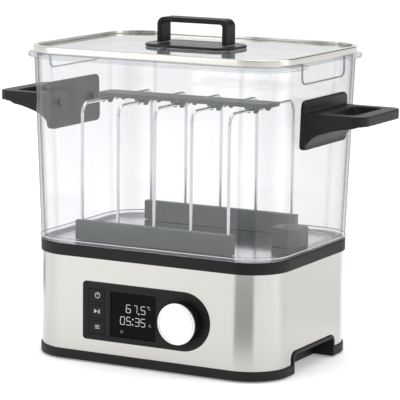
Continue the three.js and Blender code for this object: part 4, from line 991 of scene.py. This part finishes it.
def pump_cover():
    low, high = (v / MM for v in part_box("pump_cover"))
    cover = boxed(low, high, 5, steps=8)
    edit(cover)
    choose(cover, "EDGE", lambda e: across(e, 2) and abs(e.verts[0].co.z / MM - high.z) < 1e-3)
    bpy.ops.mesh.bevel(offset=1.4 * MM, segments=4, affect="EDGES")
    done()
    wall = 1.8
    cut(cover, block(
        (low.x + wall, high.x - wall), (low.y + wall, high.y - wall), (low.z - 5, high.z - wall), 5 - wall
    ))
    x, y = (low.x + high.x) / 2, (low.y + high.y) / 2
    slots = [
        block((x + dx - 0.8, x + dx + 0.8), (y - reach, y + reach), (high.z - 5, high.z + 5), 0.75, steps=4)
        for dx, reach in ((-4.5, 3.6), (-1.5, 6), (1.5, 6), (4.5, 3.6))
    ]
    outlets = [
        block((low.x - 5, x), (y + dy - 2.5, y + dy + 2.5), (low.z + 4, low.z + 10)) for dy in (-5, 5)
    ]
    cut(cover, *slots, *outlets)
    keep(cover, "pump_housing", "tank", PUMP, ["pump_cover"])


# ------------------------------------------------------------------ lid
def lid():
    rim = grown(LID, 0, (rim_low, rim_top), 1.3, steps=24, edge_steps=4)
    cut(rim, grown(LID, -4.5, (rim_low - 5, rim_top + 5), steps=24))
    cut(rim, grown(LID, -1.9, (glass_low - 0.3, glass_top + 0.3), steps=24))
    ease(rim, 0.3)
    keep(rim, "lid_band", "lid", RIM, ["lid_rim"])
    pane = grown(LID, -2.2, (glass_low, glass_top), 0.5, steps=24)
    keep(pane, "lid_pane", "lid", GLASS, ["lid_glass"])
    seal = grown(LID, -4.8, (seal_low, seal_top), 0.8, steps=20)
    cut(seal, grown(LID, -7, (seal_low - 5, seal_top + 5), steps=20))
    ease(seal, 0.4)
    keep(seal, "lid_gasket", "lid", SILICONE, ["lid_seal"])


def lid_handle():
    low, high = (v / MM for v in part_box("lid_plate"))
    plate = boxed(low, high, 18, 0.9, steps=14)
    edit(plate)
    choose(plate, "FACE", lambda f: f.normal.z > 0.9 and f.calc_area() > 0.001)
    bpy.ops.mesh.inset(thickness=1.0 * MM)
    bpy.ops.mesh.inset(thickness=0.4 * MM)
    bpy.ops.transform.translate(value=(0, 0, -0.25 * MM))
    done()
    keep(plate, "handle_base_plate", "lid", LID_PLATE, ["lid_plate"])
    low, high = (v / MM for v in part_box("lid_handle"))
    thick = 4.5
    strap = boxed(low, high, 7, axis=1, steps=12, test=lambda at: at.z > 300)
    hollow = block((low.x + thick, high.x - thick), (low.y - 9, high.y + 9), (low.z - 9, high.z - thick), 2.5,
                   axis=1, steps=8, test=lambda at: at.z > 300)
    cut(strap, hollow)
    ease(strap, 0.9, 4)
    keep(strap, "strap_handle", "lid", STRAP, ["lid_handle"])


# ------------------------------------------------------------------ rack
HOOP_X = [(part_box(f"hoop_{i}")[0].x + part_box(f"hoop_{i}")[1].x) / 2 / MM for i in range(1, 6)]


def hoops():
    """The end of a wire is drawn up, over and down again, and the hoop is then copied along the rack."""
    low, high = (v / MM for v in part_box("hoop_1"))
    x = HOOP_X[0]
    radius, bend = 1.5, 9.5
    bottom, top = low.z, high.z - radius
    ends = (low.y + radius, high.y - radius)
    bpy.ops.object.select_all(action="DESELECT")
    bpy.ops.mesh.primitive_circle_add(vertices=16, radius=radius * MM, fill_type="NGON",
                                      location=mm(x, ends[0], bottom))
    wire = bpy.context.active_object
    bpy.ops.object.transform_apply(location=True, rotation=True, scale=True)
    edit(wire)
    bpy.ops.mesh.select_mode(type="FACE")
    bpy.ops.mesh.select_all(action="SELECT")

    def onward(dy, dz):
        bpy.ops.mesh.extrude_region_move(TRANSFORM_OT_translate={"value": mm(0, dy, dz)})

    def bend_round(y):
        bpy.ops.mesh.spin(steps=8, angle=math.pi / 2, center=mm(x, y, top - bend), axis=(1, 0, 0))

    onward(0, top - bend - bottom)
    bend_round(ends[0] + bend)
    onward(ends[1] - ends[0] - 2 * bend, 0)
    bend_round(ends[1] - bend)
    onward(0, bottom - top + bend)
    bpy.ops.mesh.select_all(action="SELECT")
    bpy.ops.mesh.remove_doubles(threshold=1e-6)
    bpy.ops.mesh.normals_make_consistent(inside=False)
    done()
    for i, at in enumerate(HOOP_X[1:], 2):
        next_wire = copy_by(wire, Matrix.Translation(mm(at - x, 0, 0)))
        keep(next_wire, f"wire_hoop_{i}", "rack", WIRE, [f"hoop_{i}"], 60)
    keep(wire, "wire_hoop_1", "rack", WIRE, ["hoop_1"], 60)


def rails():
    for side in ("front", "rear"):
        low, high = (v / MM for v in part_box("rail_" + side))
        rail = boxed(low, high, 1.6, 0.8, steps=4)
        y = (low.y + high.y) / 2
        cut(rail, *[drum((x, y), 1.8, (high.z - 12.3, high.z + 5), sides=20) for x in HOOP_X])
        keep(rail, "rack_rail_" + side, "rack", RACK, ["rail_" + side])


def comb():
    low, high = (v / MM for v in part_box("comb"))
    under = high.z - 3.8
    slit, wide, thick = 1.8, 7, 2  # half the gap round a hoop, and the sizes of a tooth
    bar = block((low.x, high.x), (low.y, high.y), (under, high.z), 1.6, steps=4)
    teeth = []
    for x in HOOP_X:
        for side in (-1, 1):
            for front in (low.y, high.y - thick):
                span = sorted((x + side * slit, x + side * (slit + wide)))
                tooth = block(span, (front, front + thick), (low.z, under + 1.5))
                edit(tooth)
                choose(tooth, "VERT", lambda v: v.co.z / MM < under and abs(v.co.x / MM - x) > 5)
                bpy.ops.transform.translate(value=(-side * 3.6 * MM, 0, 0))
                done()
                round_corners(tooth, 1, 0.9, 4, lambda at: at.z < under)
                teeth.append(tooth)
    fuse(bar, *teeth)
    ease(bar, 0.4, 3)
    keep(bar, "hoop_comb", "comb", RACK, ["comb"])


# ------------------------------------------------------------------ carried-over pieces of the frame
CARRIED = {
    "display_module": WHITE, "switch_power": WHITE, "switch_start": WHITE, "switch_menu": WHITE,
    "thermal_fuse": WHITE, "motor_bracket": WHITE, "impeller": WHITE, "encoder_body": DIECAST,
    "display_board": BOARD, "main_board": BOARD, "heating_plate": CAST, "magnet_rotor": MAGNET,
    "heating_element": TUBE, "encoder_shaft": SHAFT, "impeller_pin": SHAFT, "temperature_probe": BRASS,
    "motor_body": CAN, "floor_seal": SILICONE,
}

steel_shell()
base_pan()
collar()
notch_trims()
feet()
cord_gland()
control_panel()
display()
buttons()
knob()
tank_shell()
tank_edges()
tank_floor()
handles()
screws()
pump_cover()
lid()
lid_handle()
hoops()
rails()
comb()
for node, finish in CARRIED.items():
    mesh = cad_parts[node].data
    mesh.materials.clear()
    mesh.materials.append(finish)


# ------------------------------------------------------------------ studio
def studio():
    bpy.ops.object.select_all(action="DESELECT")
    bpy.ops.mesh.primitive_plane_add(size=40, location=(0, 0, 0))
    ground = bpy.context.active_object
    ground.name = "studio_floor"
    ground.data.materials.append(floor_finish())

    world = bpy.data.worlds.new("soft_studio")
    bpy.context.scene.world = world
    world.use_nodes = True
    nodes, links = world.node_tree.nodes, world.node_tree.links
    background = nodes["Background"]
    direction = nodes.new("ShaderNodeTexCoord").outputs["Generated"]

    def patch(azimuth, height, full, none, shade, under):
        """Greys the sky round a direction: wholly inside one angle, not at all past another."""
        turn, rise = math.radians(azimuth), math.radians(height)
        aim = (math.sin(turn) * math.cos(rise), -math.cos(turn) * math.cos(rise), math.sin(rise))
        dot = nodes.new("ShaderNodeVectorMath")
        dot.operation = "DOT_PRODUCT"
        dot.inputs[1].default_value = aim
        links.new(direction, dot.inputs[0])
        fade = nodes.new("ShaderNodeMapRange")
        fade.interpolation_type = "SMOOTHSTEP"
        fade.inputs["From Min"].default_value = math.cos(math.radians(none))
        fade.inputs["From Max"].default_value = math.cos(math.radians(full))
        links.new(dot.outputs["Value"], fade.inputs["Value"])
        mixer = nodes.new("ShaderNodeMix")
        mixer.data_type = "RGBA"
        links.new(fade.outputs["Result"], mixer.inputs[0])
        links.new(under, mixer.inputs[6])
        mixer.inputs[7].default_value = (shade, shade, shade, 1)
        return mixer.outputs[2]

    white = nodes.new("ShaderNodeRGB").outputs[0]
    white.default_value = (1, 1, 1, 1)
    sky = patch(azimuth=12, height=0, full=20, none=38, shade=0.34, under=white)
    sky = patch(azimuth=160, height=30, full=16, none=27, shade=0.06, under=sky)
    links.new(sky, background.inputs["Color"])
    background.inputs["Strength"].default_value = 1.0

    def softbox(name, place, aim, size, power, tint=(1, 1, 1)):
        data = bpy.data.lights.new(name, "AREA")
        data.shape = "RECTANGLE"
        data.size, data.size_y = size
        data.energy = power
        data.color = tint
        lamp = bpy.data.objects.new(name, data)
        bpy.context.scene.collection.objects.link(lamp)
        lamp.location = place
        lamp.rotation_euler = (Vector(place) - Vector(aim)).to_track_quat("Z", "Y").to_euler()

    aim = (0, 0, 0.15)
    softbox("left_softbox", (-1.5, -1.9, 0.9), aim, (1.2, 1.8), 12)
    softbox("right_softbox", (1.9, 0.5, 0.9), aim, (0.9, 1.6), 8)
    softbox("top_softbox", (0.1, 0.25, 2.0), aim, (1.8, 1.4), 12)


def camera():
    azimuth, elevation, roll = (math.radians(a) for a in (28.14, 9.22, 0.63))
    back = Vector((
        math.sin(azimuth) * math.cos(elevation), -math.cos(azimuth) * math.cos(elevation), math.sin(elevation)
    ))
    right = Vector((math.cos(azimuth), math.sin(azimuth), 0))
    up = back.cross(right)
    level = math.cos(roll) * right + math.sin(roll) * up
    upright = -math.sin(roll) * right + math.cos(roll) * up
    data = bpy.data.cameras.new("view")
    data.lens = 211.5
    data.shift_x, data.shift_y = 0.01405, -0.021925
    data.clip_start, data.clip_end = 0.05, 100
    eye = bpy.data.objects.new("view", data)
    bpy.context.scene.collection.objects.link(eye)
    turn = Matrix((level, upright, back)).transposed().to_4x4()
    place = Vector((1.0178, -1.9020, 0.5019))
    eye.matrix_world = Matrix.Translation(place) @ turn
    bpy.context.scene.camera = eye


studio()
camera()
bpy.context.scene.view_settings.view_transform = "Standard"
bpy.context.scene.cycles.transparent_max_bounces = 24
